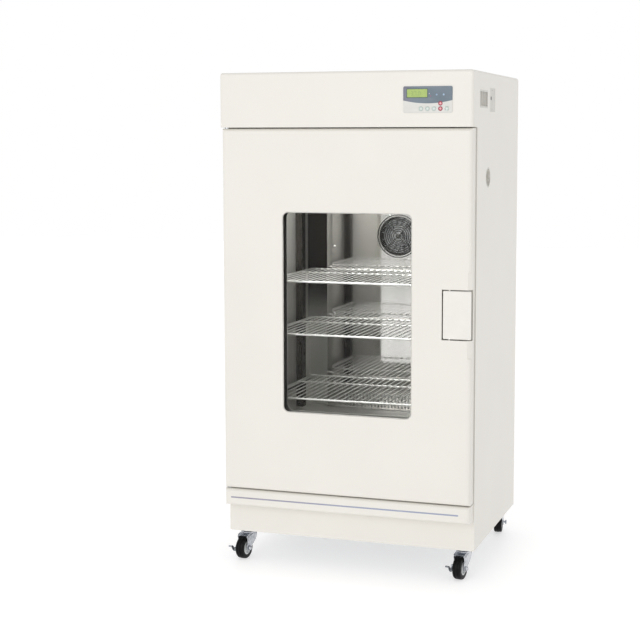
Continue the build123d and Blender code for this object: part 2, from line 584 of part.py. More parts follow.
def caster_fork():
    """Pressed fork with its kingpin, and the axle bolt that joins the legs."""
    crown_z = (BASE - 14, BASE - 9)
    fork = rod((0, 0, crown_z[0]), (0, 0, crown_z[1]), 22)
    fork += block((-LEG_X[1], LEG_X[1]), (-TRAIL, 18), (crown_z[0], crown_z[0] + 2.5))
    fork += rod((0, 0, crown_z[1]), (0, 0, BASE - 1), KINGPIN_R)
    outline = [(18.0, crown_z[0] + 2.5), (16.0, crown_z[0] - 14), (-TRAIL + 9, WHEEL_R - 2),
               (-TRAIL - 9, WHEEL_R - 2), (-TRAIL - 9, WHEEL_R + 8), (-TRAIL, crown_z[0] + 2.5)]
    for side in (-1, 1):
        span = sorted((side * LEG_X[0], side * LEG_X[1]))
        leg = side_prism(outline, span)
        leg += rod((span[0], -TRAIL, WHEEL_R), (span[1], -TRAIL, WHEEL_R), 9.2)
        fork += leg
    fork += rod((-26, -TRAIL, WHEEL_R), (24, -TRAIL, WHEEL_R), AXLE_R)
    for x in ((LEG_X[1], LEG_X[1] + 5), (-26.0, -22.0)):
        head = Plane(origin=(x[0], -TRAIL, WHEEL_R), z_dir=(1, 0, 0)) * RegularPolygon(7.5, 6)
        fork += extrude(head, amount=x[1] - x[0])
    return fork


def caster_wheel():
    """Rubber tyre with rounded shoulders on a moulded hub."""
    half = WHEEL_WIDTH / 2
    centre = (-TRAIL, WHEEL_R)
    tyre = rod((-half, *centre), (half, *centre), WHEEL_R)
    rims = [e for e in tyre.edges() if e.bounding_box().size.X < 0.01]
    tyre = fillet(rims, 6)
    tyre -= rod((-half - 1, *centre), (half + 1, *centre), HUB_R)
    hub = rod((-half + 1, *centre), (half - 1, *centre), HUB_R)
    hub -= rod((half - 5, *centre), (half, *centre), HUB_R - 4)
    hub -= rod((-half, *centre), (-half + 5, *centre), HUB_R - 4)
    hub += rod((-half, *centre), (half, *centre), 8)
    hub -= rod((-half - 1, *centre), (half + 1, *centre), AXLE_R + RUNNING_GAP)
    return tyre, hub


def brake_lever():
    """Side lever on the axle: an arm that curves forward, ending in a flat tab for the toe."""
    x0, x1 = -21.5, -17.3
    aside, ahead = LEVER_REACH
    lever = rod((x0, -TRAIL, WHEEL_R), (x1, -TRAIL, WHEEL_R), 8)
    arm = [(-TRAIL - 2, WHEEL_R + 7.5), (-TRAIL - 4, WHEEL_R - 7.5), (-TRAIL - 20, WHEEL_R - 9),
           (-TRAIL - 32, WHEEL_R), (-TRAIL - 40, WHEEL_R + 11), (-TRAIL - 31, WHEEL_R + 11),
           (-TRAIL - 24, WHEEL_R + 2), (-TRAIL - 14, WHEEL_R + 2)]
    lever += side_prism(arm, (x0, x0 + 2.5))
    lever += block((-aside, x0 + 2.5), (-TRAIL - ahead, -TRAIL - 31), (WHEEL_R + 9, WHEEL_R + 11))
    return lever - rod((x0 - 1, -TRAIL, WHEEL_R), (x1 + 1, -TRAIL, WHEEL_R), AXLE_R + RUNNING_GAP)


def build_casters():
    nodes = {}
    plates = []
    tyre, hub = caster_wheel()
    fork = caster_fork()
    for place, (x, y, turn) in CASTERS.items():
        stand = Pos(x, y, 0) * Rot(0, 0, turn)
        plates.append(Pos(x, y, 0) * caster_plate())
        nodes[f"{place}_fork"] = stand * fork
        nodes[f"{place}_tyre"] = stand * tyre
        nodes[f"{place}_hub"] = stand * hub
        if place in BRAKED:
            nodes[f"{place}_brake_lever"] = stand * brake_lever()
    nodes["caster_plates"] = Compound(plates)
    return nodes


def main():
    nodes = {}
    for build in (build_shell, build_frame, build_lower_trim, build_hinges, build_chamber, build_duct_panel,
                  build_fan_guard, build_fan, build_probe, build_shelf_supports, build_door, build_handle,
                  build_controls, build_side_fittings, build_casters):
        nodes.update(build())
    for name, level in SHELF_LEVELS.items():
        nodes[f"{name}_shelf"] = build_shelf(level)
    for name, shape in nodes.items():
        export_step(shape, f"parts/{name}.step")
    print(len(nodes), "nodes")


main()
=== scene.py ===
import math

import bmesh
import bpy
from bpy.props import FloatProperty, FloatVectorProperty, IntProperty, PointerProperty
from mathutils import Matrix, Vector


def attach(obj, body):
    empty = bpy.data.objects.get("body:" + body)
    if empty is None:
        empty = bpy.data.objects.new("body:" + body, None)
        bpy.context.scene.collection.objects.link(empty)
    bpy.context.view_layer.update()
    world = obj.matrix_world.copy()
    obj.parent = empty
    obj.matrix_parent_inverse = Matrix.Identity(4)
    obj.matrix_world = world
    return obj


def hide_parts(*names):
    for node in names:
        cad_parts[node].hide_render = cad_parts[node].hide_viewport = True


bl_info = {
    "name": "Forced convection oven",
    "version": (1, 0, 0),
    "blender": (4, 5, 0),
    "location": "View3D > Sidebar > Oven",
    "description": "Finishes, small fittings and studio stage of a floor-standing laboratory oven",
    "category": "Object",
}

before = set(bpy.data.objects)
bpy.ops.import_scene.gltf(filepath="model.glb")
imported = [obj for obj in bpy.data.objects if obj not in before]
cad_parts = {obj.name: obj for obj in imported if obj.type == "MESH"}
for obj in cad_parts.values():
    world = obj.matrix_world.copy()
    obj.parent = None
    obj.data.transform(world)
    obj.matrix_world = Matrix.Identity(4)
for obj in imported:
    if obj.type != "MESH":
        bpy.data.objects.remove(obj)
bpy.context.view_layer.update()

# Places and sizes of the oven in millimetres, in the same frame as its solids
MM = 0.001
DOOR_FRONT = -302.0
DOOR_BACK = -261.0
OUTER_FRONT = -309.0
REAR = 293.0
SIDE = 370.0
WINDOW_X = (-184.0, 199.0)
WINDOW_Z = (461.0, 1037.0)
WINDOW_ROUND = 18.0
PADDLE_X = (287.0, 367.0)
PADDLE_Z = (693.0, 827.0)
PADDLE_AXIS = (305.0, -297.0)
BEZEL_X = (174.0, 312.0)
BEZEL_Z = (1312.0, 1384.0)
DISPLAY_X = (185.0, 241.5)
DISPLAY_Z = (1354.5, 1376.0)
KEYS = {"key_1": (224.0, 1323.3), "key_2": (242.3, 1323.3), "key_3": (260.5, 1323.3),
        "key_4": (278.6, 1323.3), "key_5": (296.4, 1323.3), "key_6": (278.6, 1337.5)}
WARM_KEYS = ("key_4", "key_6")
VENT_Y = (-230.0, -131.0)
VENT_Z = (1327.0, 1377.0)
PLATE_Y = (-106.0, -37.0)
PLATE_Z = (1319.0, 1385.0)
RESET = (-88.0, 1356.5)
FAN_X = 20.0
FAN_Z = 941.0
DUCT_FRONT = 178.0
CASTERS = {"front_left": (-330.0, -212.0, -8.0), "front_right": (330.0, -212.0, -8.0),
           "rear_left": (-330.0, 243.0, 174.0), "rear_right": (330.0, 243.0, 187.0)}
BRAKED = ("front_left", "front_right")
AXLE = (-28.0, 32.5)        # the wheel's centre along Y and Z, from the caster's swivel axis and the floor
LEG_OUT = 17.0              # outer face of the fork's legs
STRIPE_X = (-348.0, 335.0)
STRIPE_Z = (197.3, 201.5)
STRIPE_FADE = (-250.0, 100.0)   # along X, from grey-violet to grey-blue
GUARD_REACH = 66.0          # length of the guard's spokes, from its middle
RING_OUTER = 66.4           # radius of the guard's outer ring
RING_PITCH = 6.4
LINER_BACK = (200.0, 212.0)     # along Y, from the liner's side walls to its back wall
SHADED_Z = (580.0, 800.0)      # from the clean sheet up to the full painted shade
FIELD_LOW = 1337.7              # lowest point of the keypad's dark field
FIELD_CURVE = 1.72              # how fast the field's edge climbs to both sides, per metre
FIELD_VIOLET = (210.0, 178.0)   # along X, from blue-grey to violet

# Turns that lay a flat drawing on a plane: its X and Y become X and Z of the front, or Y and Z of the side.
TO_FRONT = Matrix.Rotation(math.radians(90), 4, "X")
TO_SIDE = Matrix(((0, 0, 1, 0), (1, 0, 0, 0), (0, 1, 0, 0), (0, 0, 0, 1)))


def linear(hex_code):
    """A colour written as sRGB hex, as the linear red, green and blue that shaders expect."""
    channels = [int(hex_code[i:i + 2], 16) / 255 for i in (0, 2, 4)]
    return tuple(c / 12.92 if c <= 0.04045 else ((c + 0.055) / 1.055) ** 2.4 for c in channels)


LENGTH = {"subtype": "DISTANCE", "unit": "LENGTH"}
POWER = {"subtype": "POWER", "unit": "POWER"}


def tone(label, description, hex_code):
    """A colour that a user can change."""
    return FloatVectorProperty(name=label, description=description, default=linear(hex_code), size=3,
                               min=0.0, max=1.0, subtype="COLOR")


def amount(label, description, value, **kind):
    """A number from zero up that a user can change."""
    return FloatProperty(name=label, description=description, default=value, min=0.0, **kind)


class OvenColours(bpy.types.PropertyGroup):
    """Colours that a user of the oven's model might change."""
    paint: tone("Cabinet paint", "Powder coat of the cabinet and door", "E0DDD6")
    handle: tone("Handle", "Moulded paddle of the door handle", "E3E0DA")
    stripe_left: tone("Stripe, left end", "Printed line along the lower trim", "9B98A7")
    stripe_right: tone("Stripe, right end", "Printed line along the lower trim", "989FB4")
    field_dark: tone("Keypad, upper field", "Blue-grey field around the display", "5F6E7A")
    field_light: tone("Keypad, lower field", "Pale field under the keys", "CFCEC9")
    display: tone("Display", "Backlit liquid crystal", "97AD56")
    warm_key: tone("Warm keys", "Rings of the two red keys", "AA3F52")
    cool_key: tone("Cool keys", "Rings of the grey keys", "BCC9C4")


class OvenSizes(bpy.types.PropertyGroup):
    """Sizes of the small fittings."""
    screw: amount("Screw head", "Radius of the pan head screws", 3.6 * MM, **LENGTH)
    louvre_depth: amount("Louvre depth", "How far the pressed louvres stand out", 7.0 * MM, **LENGTH)
    guard_wire: amount("Guard wire", "Radius of the fan guard's wire", 1.6 * MM, **LENGTH)
    guard_rings: IntProperty(name="Guard rings", description="Rings of the fan guard", default=9, min=1)
    vent_fins: IntProperty(name="Vent fins", description="Fins behind the side vent", default=20, min=1)


class OvenStage(bpy.types.PropertyGroup):
    """Light and floor of the studio."""
    key_power: amount("Key light", "Power of the large soft light in front", 75.0, **POWER)
    chamber_power: amount("Chamber light", "Power of the lamp under the chamber's roof", 4.5, **POWER)
    walls: amount("Walls", "Brightness of the white room at the height of the eye", 1.0)
    ceiling: amount("Ceiling", "Brightness of the room overhead", 0.75)
    floor_glow: amount("Floor light", "Light that comes up through the white floor", 0.55)


# Node trees and finishes

def add_node(tree, kind, inputs=None, **settings):
    """Adds one node. Each input, by name or number, takes a value, a socket or the node that feeds it."""
    node = tree.nodes.new(kind)
    for name, value in settings.items():
        setattr(node, name, value)
    for name, value in (inputs or {}).items():
        if isinstance(name, int):
            socket = node.inputs[name]
        else:
            socket = next(s for s in node.inputs if s.name == name and s.enabled)
        if isinstance(value, bpy.types.Node):
            value = next(s for s in value.outputs if s.enabled)
        if isinstance(value, bpy.types.NodeSocket):
            tree.links.new(value, socket)
        elif socket.type == "RGBA":
            socket.default_value = (*value[:3], 1.0)
        else:
            socket.default_value = value
    return node


def finish(name, colour, shade, roughness, spread, patch_mm, grain_mm, relief_mm=0.0, stretch=(1, 1, 1),
           **shader_values):
    """A material whose colour drifts in slow patches, with fine grain in its gloss and its relief.

    Colours are linear, and a single number as the shade is a share of the colour. Sizes are those on the real
    thing, and stretch draws the pattern out along an axis.
    """
    if name in bpy.data.materials:
        return bpy.data.materials[name]
    if isinstance(shade, float):
        shade = [c * shade for c in colour]
    material = bpy.data.materials.new(name)
    material.use_nodes = True
    tree = material.node_tree
    tree.nodes.clear()
    place = add_node(tree, "ShaderNodeTexCoord").outputs["Object"]
    drawn = add_node(tree, "ShaderNodeMapping", {"Vector": place, "Scale": [1 / s for s in stretch]})
    patches = add_node(tree, "ShaderNodeTexNoise", {"Vector": drawn, "Scale": 1 / (patch_mm * MM),
                                                    "Detail": 3.0})
    fine = add_node(tree, "ShaderNodeTexNoise", {"Vector": drawn, "Scale": 1 / (grain_mm * MM),
                                                 "Detail": 2.0})
    spots = add_node(tree, "ShaderNodeMapRange", {"Value": patches, "From Min": 0.35, "From Max": 0.65},
                     interpolation_type="SMOOTHSTEP")
    tint = add_node(tree, "ShaderNodeMix", {"Factor": spots, "A": colour, "B": shade}, data_type="RGBA")
    values = {key.replace("_", " "): value for key, value in shader_values.items()}
    shader = add_node(tree, "ShaderNodeBsdfPrincipled",
                      {"Base Color": tint, "Roughness": roughness, **values}, name="shader")
    if spread:
        gloss = add_node(tree, "ShaderNodeMapRange", {
            "Value": fine, "From Min": 0.3, "From Max": 0.7, "To Min": roughness - spread,
            "To Max": roughness + spread})
        tree.links.new(gloss.outputs[0], shader.inputs["Roughness"])
    if relief_mm:
        relief = add_node(tree, "ShaderNodeBump", {"Height": fine, "Distance": relief_mm * MM,
                                                   "Strength": 1.0})
        tree.links.new(relief.outputs[0], shader.inputs["Normal"])
    add_node(tree, "ShaderNodeOutputMaterial", {"Surface": shader})
    return material


def object_axes(tree):
    """The object's own X, Y and Z, by which a finish can tell where it is."""
    place = add_node(tree, "ShaderNodeTexCoord").outputs["Object"]
    return add_node(tree, "ShaderNodeSeparateXYZ", {"Vector": place}).outputs


def colour_over(material, share, colour):
    """Lays a second colour over a finish, by the share that a node gives."""
    tree = material.node_tree
    base = tree.nodes["shader"].inputs["Base Color"]
    mixed = add_node(tree, "ShaderNodeMix", {"Factor": share, "A": base.links[0].from_socket, "B": colour},
                     data_type="RGBA")
    tree.links.new(mixed.outputs[2], base)


# Finishes that need no more than that: colour and shade in sRGB hex, roughness and its spread, size in
# millimetres of the patches and of the grain, relief of the grain, and what else the finish takes
METAL = {"Metallic": 1.0}
ROLLED = {"stretch": (1, 1, 25), **METAL}
FOLDED = {"stretch": (1, 1, 10), **METAL}
PLASTIC = {"IOR": 1.53}
FINISHES = {
    # Hot-dip galvanised sheet: cloudy zinc crystals about as large as a fingernail
    "galvanised_sheet": ("B9BCBE", "9DA1A5", 0.4, 0.08, 14.0, 1.5, 0.01, METAL),
    # Bright annealed stainless sheet: a soft mirror, hazed a little by upright rolling lines
    "bright_annealed_stainless": ("CCCAC8", "C1BFBC", 0.06, 0.02, 120.0, 2.5, 0.0, ROLLED),
    # Cold-rolled stainless sheet, mill finish: silvery and matt, without clear reflections
    "mill_finish_stainless": ("C8C7C3", "BEBDB8", 0.48, 0.05, 120.0, 2.5, 0.0, ROLLED),
    # Bead-blasted stainless sheet: dull silver that scatters the light evenly
    "bead_blasted_stainless": ("DAD9D5", "D7D6D2", 0.65, 0.04, 120.0, 1.5, 0.0, METAL),
    # Folded stainless strip, darker and duller than the sheet behind it: its dark colour is painted shade and
    # painted dark reflection on the shelf supports
    "shade_darkened_stainless": ("4E4A46", "413E3A", 0.3, 0.07, 50.0, 1.2, 0.004, FOLDED),
    # Electropolished stainless wire: bright, with gloss that wavers along its length
    "electropolished_wire": ("D2D2D0", "C4C4C1", 0.33, 0.05, 30.0, 2.0, 0.0, METAL),
    # Zinc-plated pressed steel: silvery, with cloudy patches from the bath and soft wide highlights
    "zinc_plated_steel": ("D2D4D8", "B4B7BD", 0.2, 0.07, 8.0, 1.0, 0.01, METAL),
    # Turned brass: warm and smooth, with close tool marks
    "turned_brass": ("C9A75A", "B8954C", 0.28, 0.05, 8.0, 0.6, 0.004, METAL),
    # Die-cast aluminium: grey and even, with a fine sandy skin
    "die_cast_aluminium": ("B4B5B6", "9FA0A2", 0.45, 0.06, 10.0, 0.8, 0.02, METAL),
    # Oxidised heater sheath: brown-grey scale left by red heat
    "oxidised_sheath": ("5A4D45", "3E3833", 0.5, 0.08, 15.0, 1.0, 0.01, METAL),
    # Blackened wire: dark satin with soft highlights
    "blackened_wire": ("3A3A38", "2C2C2A", 0.35, 0.06, 12.0, 1.0, 0.005, {"Metallic": 0.6}),
    # Baked enamel over cast iron: dark grey with a slight orange peel
    "baked_enamel": ("3C3F43", "34373B", 0.4, 0.06, 20.0, 1.6, 0.02, {"IOR": 1.5}),
    # Mineral wool: matted fibres that swallow the light
    "mineral_wool": ("C9B98C", "B5A376", 0.95, 0.03, 20.0, 3.0, 1.0, {"stretch": (1, 3, 1)}),
    # Grey silicone: smooth and slightly dusty
    "silicone_gasket": ("A5A29C", "97948E", 0.5, 0.06, 30.0, 1.2, 0.01, {"IOR": 1.42}),
    # Milky silicone bead, struck off with a finger: a soft sheen
    "silicone_bead": ("C9C7C1", "BDBBB5", 0.4, 0.06, 20.0, 1.2, 0.01, {"IOR": 1.42}),
    # Spark-textured ABS, light grey: an even fine mattness
    "textured_abs_grey": ("CFCDC7", "C7C5BF", 0.5, 0.05, 40.0, 0.8, 0.02, PLASTIC),
    # Spark-textured ABS, pale grey: the same plastic lightened with painted light, on the vent's fins, which
    # stand in shade
    "textured_abs_painted_light": ("E8E6E0", "E0DED8", 0.5, 0.05, 40.0, 0.8, 0.02, PLASTIC),
    # Spark-textured ABS, mid grey: the same plastic greyed with painted shade, in the pocket behind the
    # handle
    "textured_abs_painted_shade": ("B7B4AD", "ACA9A2", 0.5, 0.05, 40.0, 0.8, 0.02, PLASTIC),
    # Black nylon: near black, with a dull moulded skin
    "moulded_nylon_black": ("1D1D1F", "161618", 0.4, 0.06, 20.0, 0.8, 0.02, PLASTIC),
    # Natural nylon: milky grey, slightly waxy, as in the wheel's hub
    "moulded_nylon_natural": ("D6D8D8", "C9CCCC", 0.38, 0.05, 14.0, 0.9, 0.01, PLASTIC),
    # Filter cloth: pale threads about half a millimetre apart
    "filter_cloth": ("EBE9E3", "DEDCD6", 0.85, 0.05, 6.0, 0.6, 0.15, {}),
    # Turned PTFE: dense, waxy grey-white, shaded by fine tool marks round the bore
    "turned_ptfe": ("CECCC6", "C0BEB8", 0.42, 0.05, 25.0, 0.7, 0.01, {"IOR": 1.38}),
    # Moulded tread rubber, loaded with carbon: deep black, with only a slight sheen
    "moulded_rubber": ("060607", "0C0C0D", 0.42, 0.08, 12.0, 0.9, 0.03, {"IOR": 1.25}),
    # Tinted acrylic: muted green and glossy, for the ring around the display, whose dark green is painted
    # shade at the edge of the display's recess
    "display_shade_acrylic": ("56685C", "4E5F54", 0.25, 0.04, 10.0, 1.0, 0.0, {"IOR": 1.49}),
    # Solder mask over laminate: deep green with traces hardly raised
    "solder_masked_board": ("2E6B42", "27593A", 0.35, 0.06, 6.0, 0.8, 0.02, {"IOR": 1.55}),
}


def plain(name):
    """One of the finishes in the table."""
    colour, shade, *numbers, values = FINISHES[name]
    return finish(name, linear(colour), linear(shade), *numbers, **values)


def powder_coat():
    """Powder-coated steel: an off-white skin whose faint orange peel softens every highlight."""
    colour = bpy.context.scene.oven_colours.paint
    return finish("powder_coated_steel", colour, 0.985, 0.42, 0.05, 220.0, 2.2, 0.012, IOR=1.5)


def toughened_glass():
    """Toughened glass with an anti-reflection coat: clear, with hardly any reflection to veil the chamber."""
    return finish("coated_toughened_glass", linear("FEFEFE"), linear("FCFDFC"), 0.0, 0.0, 90.0, 30.0,
                  IOR=1.12, Transmission_Weight=1.0)


def coat(material, *nodes):
    """Gives CAD nodes their finish."""
    for name in nodes:
        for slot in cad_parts[name].material_slots:
            slot.material = material


# Shapes

def object_from(name, data):
    obj = bpy.data.objects.new(name, data)
    bpy.context.scene.collection.objects.link(obj)
    return obj


def settle(obj, matrix=None):
    """Turns a curve or an object with modifiers into a plain mesh at the origin."""
    seen = obj.evaluated_get(bpy.context.evaluated_depsgraph_get())
    mesh = bpy.data.meshes.new_from_object(seen)
    if matrix is not None:
        mesh.transform(matrix)
    name = obj.name
    bpy.data.objects.remove(obj)
    return object_from(name, mesh)


def joined(name, parts):
    """One object from several, each already in its place."""
    gathered = bmesh.new()
    for part in parts:
        gathered.from_mesh(part.data)
        bpy.data.objects.remove(part)
    mesh = bpy.data.meshes.new(name)
    gathered.to_mesh(mesh)
    gathered.free()
    return object_from(name, mesh)


def file_piece(obj, body, slot, material, *replaced):
    """Gives a finished piece its material and its body, and hides the nodes that it stands for; the slot is
    not used.
    """
    obj.data.materials.clear()
    obj.data.materials.append(material)
    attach(obj, body)
    if replaced:
        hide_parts(*replaced)
    return obj


def tidied(mesh, angle):
    """Closes the poles, turns the faces outwards and smooths all but the sharp edges."""
    shape = bmesh.new()
    shape.from_mesh(mesh)
    bmesh.ops.remove_doubles(shape, verts=shape.verts, dist=0.02 * MM)
    bmesh.ops.dissolve_degenerate(shape, edges=shape.edges, dist=0.01 * MM)
    bmesh.ops.recalc_face_normals(shape, faces=shape.faces)
    shape.to_mesh(mesh)
    shape.free()
    mesh.shade_smooth()
    mesh.set_sharp_from_angle(angle=math.radians(angle))
    return mesh


def from_curve(name, runs, closed, matrix=None, **settings):
    """A plain mesh from runs of points in millimetres and the settings of the curve through them."""
    curve = bpy.data.curves.new(name, "CURVE")
    for key, value in settings.items():
        setattr(curve, key, value)
    for points in runs:
        spline = curve.splines.new("POLY")
        spline.points.add(len(points) - 1)
        for point, place in zip(spline.points, points):
            point.co = (*[c * MM for c in place], 1)
        spline.use_cyclic_u = closed
    obj = settle(object_from(name, curve), matrix)
    tidied(obj.data, 50)
    return obj


def drawing(name, loops, thickness, bevel=0.0, matrix=None):
    """A flat shape from outlines and holes in millimetres, given a thickness and rounded edges."""
    runs = [[(x, y, 0) for x, y in points] for points in loops]
    return from_curve(name, runs, True, matrix, dimensions="2D", fill_mode="BOTH", bevel_resolution=2,
                      extrude=(thickness / 2 - bevel) * MM, bevel_depth=bevel * MM, offset=-bevel * MM)


def tube(name, points, radius, closed=False):
    """A round wire through points in millimetres."""
    return from_curve(name, [points], closed, dimensions="3D", bevel_resolution=3, bevel_depth=radius * MM,
                      use_fill_caps=not closed)


def skin(name, rings, closed, angle):
    """A mesh over rings of points in millimetres, closed on itself or capped at both its ends."""
    n, m = len(rings[0]), len(rings)
    faces = []
    for i in range(m if closed else m - 1):
        here, there = i * n, (i + 1) % m * n
        faces += [(here + j, here + (j + 1) % n, there + (j + 1) % n, there + j) for j in range(n)]
    if not closed:
        faces += [tuple(range(n)), tuple(range((m - 1) * n, m * n))]
    mesh = bpy.data.meshes.new(name)
    mesh.from_pydata([[c * MM for c in point] for ring in rings for point in ring], [], faces)
    return object_from(name, tidied(mesh, angle))


def turned(name, profile, centre, axis="X", segments=48):
    """A closed outline of (distance along, radius) pairs, turned about an axis through the centre."""
    order = {"X": lambda s, u, v: (s, u, v), "Y": lambda s, u, v: (v, s, u),
             "Z": lambda s, u, v: (u, v, s)}[axis]
    rings = []
    for i in range(segments):
        angle = 2 * math.pi * i / segments
        points = [order(step, r * math.cos(angle), r * math.sin(angle)) for step, r in profile]
        rings.append([[c + p for c, p in zip(centre, point)] for point in points])
    return skin(name, rings, True, 35)


def arc(cx, cy, radius, start, end, steps):
    """Points on an arc, from one angle to the other in degrees."""
    angles = [math.radians(start + (end - start) * i / steps) for i in range(steps + 1)]
    return [(cx + radius * math.cos(t), cy + radius * math.sin(t)) for t in angles]


def circle(x, y, radius, steps=32):
    return arc(x, y, radius, 0, 360 * (1 - 1 / steps), steps - 1)


def rounded(x, y, radius, steps=6):
    """The outline of a rectangle with rounded corners, from pairs of low and high coordinates."""
    points = []
    for cx, cy, start in ((x[1] - radius, y[1] - radius, 0), (x[0] + radius, y[1] - radius, 90),
                          (x[0] + radius, y[0] + radius, 180), (x[1] - radius, y[0] + radius, 270)):
        points += arc(cx, cy, radius, start, start + 90, steps)
    return points


def grown(pair, margin):
    return (pair[0] - margin, pair[1] + margin)


def flowing(points, steps=4, closed=True):
    """A smooth line through the given points."""
    result = []
    count = len(points)
    for i in range(count if closed else count - 1):
        near = [points[(i + k) % count] if closed else points[min(max(i + k, 0), count - 1)]
                for k in (-1, 0, 1, 2)]
        for s in range(steps):
            t = s / steps
            weights = (-t + 2 * t ** 2 - t ** 3, 2 - 5 * t ** 2 + 3 * t ** 3,
                       t + 4 * t ** 2 - 3 * t ** 3, -t ** 2 + t ** 3)
            result.append(tuple(sum(w * p[axis] for w, p in zip(weights, near)) / 2 for axis in (0, 1)))
    if not closed:
        result.append(points[-1])
    return result


def moved(x, y, z):
    """A move in millimetres."""
    return Matrix.Translation((x * MM, y * MM, z * MM))


def about_z(degrees):
    return Matrix.Rotation(math.radians(degrees), 4, "Z")


def on_front(y_back, thickness):
    """Where a drawing goes whose back lies in the plane at y_back."""
    return moved(0, y_back - thickness / 2, 0) @ TO_FRONT


def on_side(x_middle):
    """Where a drawing goes that lies across the width, with its middle at x_middle."""
    return moved(x_middle, 0, 0) @ TO_SIDE


# Geometry Nodes for what repeats

def new_tree(name, *inputs):
    """An empty geometry tree and its inputs, each given as its label, socket type and default."""
    tree = bpy.data.node_groups.new(name, "GeometryNodeTree")
    tree.interface.new_socket("Geometry", in_out="OUTPUT", socket_type="NodeSocketGeometry")
    tree.interface.new_socket("Geometry", in_out="INPUT", socket_type="NodeSocketGeometry")
    for label, kind, default in inputs:
        tree.interface.new_socket(label, in_out="INPUT", socket_type=kind).default_value = default
    tree.interface.new_socket("Material", in_out="INPUT", socket_type="NodeSocketMaterial")
    return tree, add_node(tree, "NodeGroupInput").outputs


def end_tree(tree, geometry, material):
    """Ends a tree in real faces that have their material."""
    real = add_node(tree, "GeometryNodeRealizeInstances", {"Geometry": geometry})
    painted = add_node(tree, "GeometryNodeSetMaterial", {"Geometry": real, "Material": material})
    add_node(tree, "NodeGroupOutput", {"Geometry": painted})
    return tree


def row_tree():
    """Copies of the incoming shape, a fixed step apart."""
    tree, given = new_tree("row", ("Count", "NodeSocketInt", 8), ("Step", "NodeSocketVector", (0, 0, 0.01)))
    line = add_node(tree, "GeometryNodeMeshLine", {"Count": given["Count"], "Offset": given["Step"]})
    copies = add_node(tree, "GeometryNodeInstanceOnPoints", {"Points": line, "Instance": given["Geometry"]})
    return end_tree(tree, copies, given["Material"])


def screw_tree():
    """A cross-recessed pan head on every point, facing one way and each turned by chance about its axis."""
    tree, given = new_tree("screws", ("Radius", "NodeSocketFloat", 0.0036),
                           ("Facing", "NodeSocketVector", (0, 0, 0)), ("Seed", "NodeSocketInt", 3))
    ball = add_node(tree, "GeometryNodeMeshUVSphere", {"Segments": 20, "Rings": 10,
                                                       "Radius": given["Radius"]})
    head = add_node(tree, "GeometryNodeTransform", {"Geometry": ball, "Scale": (1, 1, 0.5)})
    recess = add_node(tree, "GeometryNodeMeshBoolean", {"Mesh 1": head}, operation="DIFFERENCE")
    for size in ((0.0040, 0.0009, 0.0024), (0.0009, 0.0040, 0.0024)):
        bar = add_node(tree, "GeometryNodeMeshCube", {"Size": size})
        raised = add_node(tree, "GeometryNodeTransform", {"Geometry": bar, "Translation": (0, 0, 0.0020)})
        tree.links.new(raised.outputs[0], recess.inputs["Mesh 2"])
    chance = add_node(tree, "FunctionNodeRandomValue", {"Seed": given["Seed"], "Max": math.pi},
                      data_type="FLOAT")
    spin = add_node(tree, "ShaderNodeCombineXYZ", {"Z": chance})
    copies = add_node(tree, "GeometryNodeInstanceOnPoints", {"Points": given["Geometry"], "Instance": recess,
                                                             "Rotation": given["Facing"]})
    spun = add_node(tree, "GeometryNodeRotateInstances", {"Instances": copies, "Rotation": spin})
    return end_tree(tree, spun, given["Material"])


def ring_tree():
    """Concentric wire rings about the origin, in the plane of the front."""
    tree, given = new_tree("rings", ("Count", "NodeSocketInt", 9), ("Wire", "NodeSocketFloat", 0.0016))
    points = add_node(tree, "GeometryNodeMeshLine", {"Count": given["Count"], "Offset": (0, 0, 0)})
    number = add_node(tree, "GeometryNodeInputIndex")
    inward = add_node(tree, "ShaderNodeMath", {0: number, 1: RING_PITCH * MM}, operation="MULTIPLY")
    radius = add_node(tree, "ShaderNodeMath", {0: RING_OUTER * MM, 1: inward}, operation="SUBTRACT")
    unit = add_node(tree, "GeometryNodeCurvePrimitiveCircle", {"Resolution": 64, "Radius": 1.0})
    rings = add_node(tree, "GeometryNodeInstanceOnPoints", {
        "Points": points, "Instance": unit, "Rotation": (math.radians(90), 0, 0), "Scale": radius})
    real = add_node(tree, "GeometryNodeRealizeInstances", {"Geometry": rings})
    section = add_node(tree, "GeometryNodeCurvePrimitiveCircle", {"Resolution": 8, "Radius": given["Wire"]})
    wires = add_node(tree, "GeometryNodeCurveToMesh", {"Curve": real, "Profile Curve": section})
    return end_tree(tree, wires, given["Material"])


def grow(name, mesh, tree, material, **values):
    """Runs a geometry tree on a mesh and keeps the result as a plain mesh."""
    obj = object_from(name, mesh)
    modifier = obj.modifiers.new(name, "NODES")
    modifier.node_group = tree
    values["Material"] = material
    for item in tree.interface.items_tree:
        if item.in_out == "INPUT" and item.name in values:
            modifier[item.identifier] = values[item.name]
    return settle(obj)


def row_of(obj, material, count, step_mm):
    """Copies of an object, a step in millimetres apart."""
    name, mesh = obj.name, obj.data
    bpy.data.objects.remove(obj)
    return grow(name, mesh, row_tree(), material, Count=count, Step=[s * MM for s in step_mm])


def screws(name, places, facing, body, slot, material, radius_mm=None):
    """Screw heads at places in millimetres; facing is the rotation in degrees that points them outwards."""
    mesh = bpy.data.meshes.new(name)
    mesh.from_pydata([[c * MM for c in place] for place in places], [], [])
    radius = radius_mm * MM if radius_mm else bpy.context.scene.oven_sizes.screw
    heads = grow(name, mesh, screw_tree(), material, Radius=radius, Facing=[math.radians(a) for a in facing])
    file_piece(heads, body, slot, material)


# Pieces

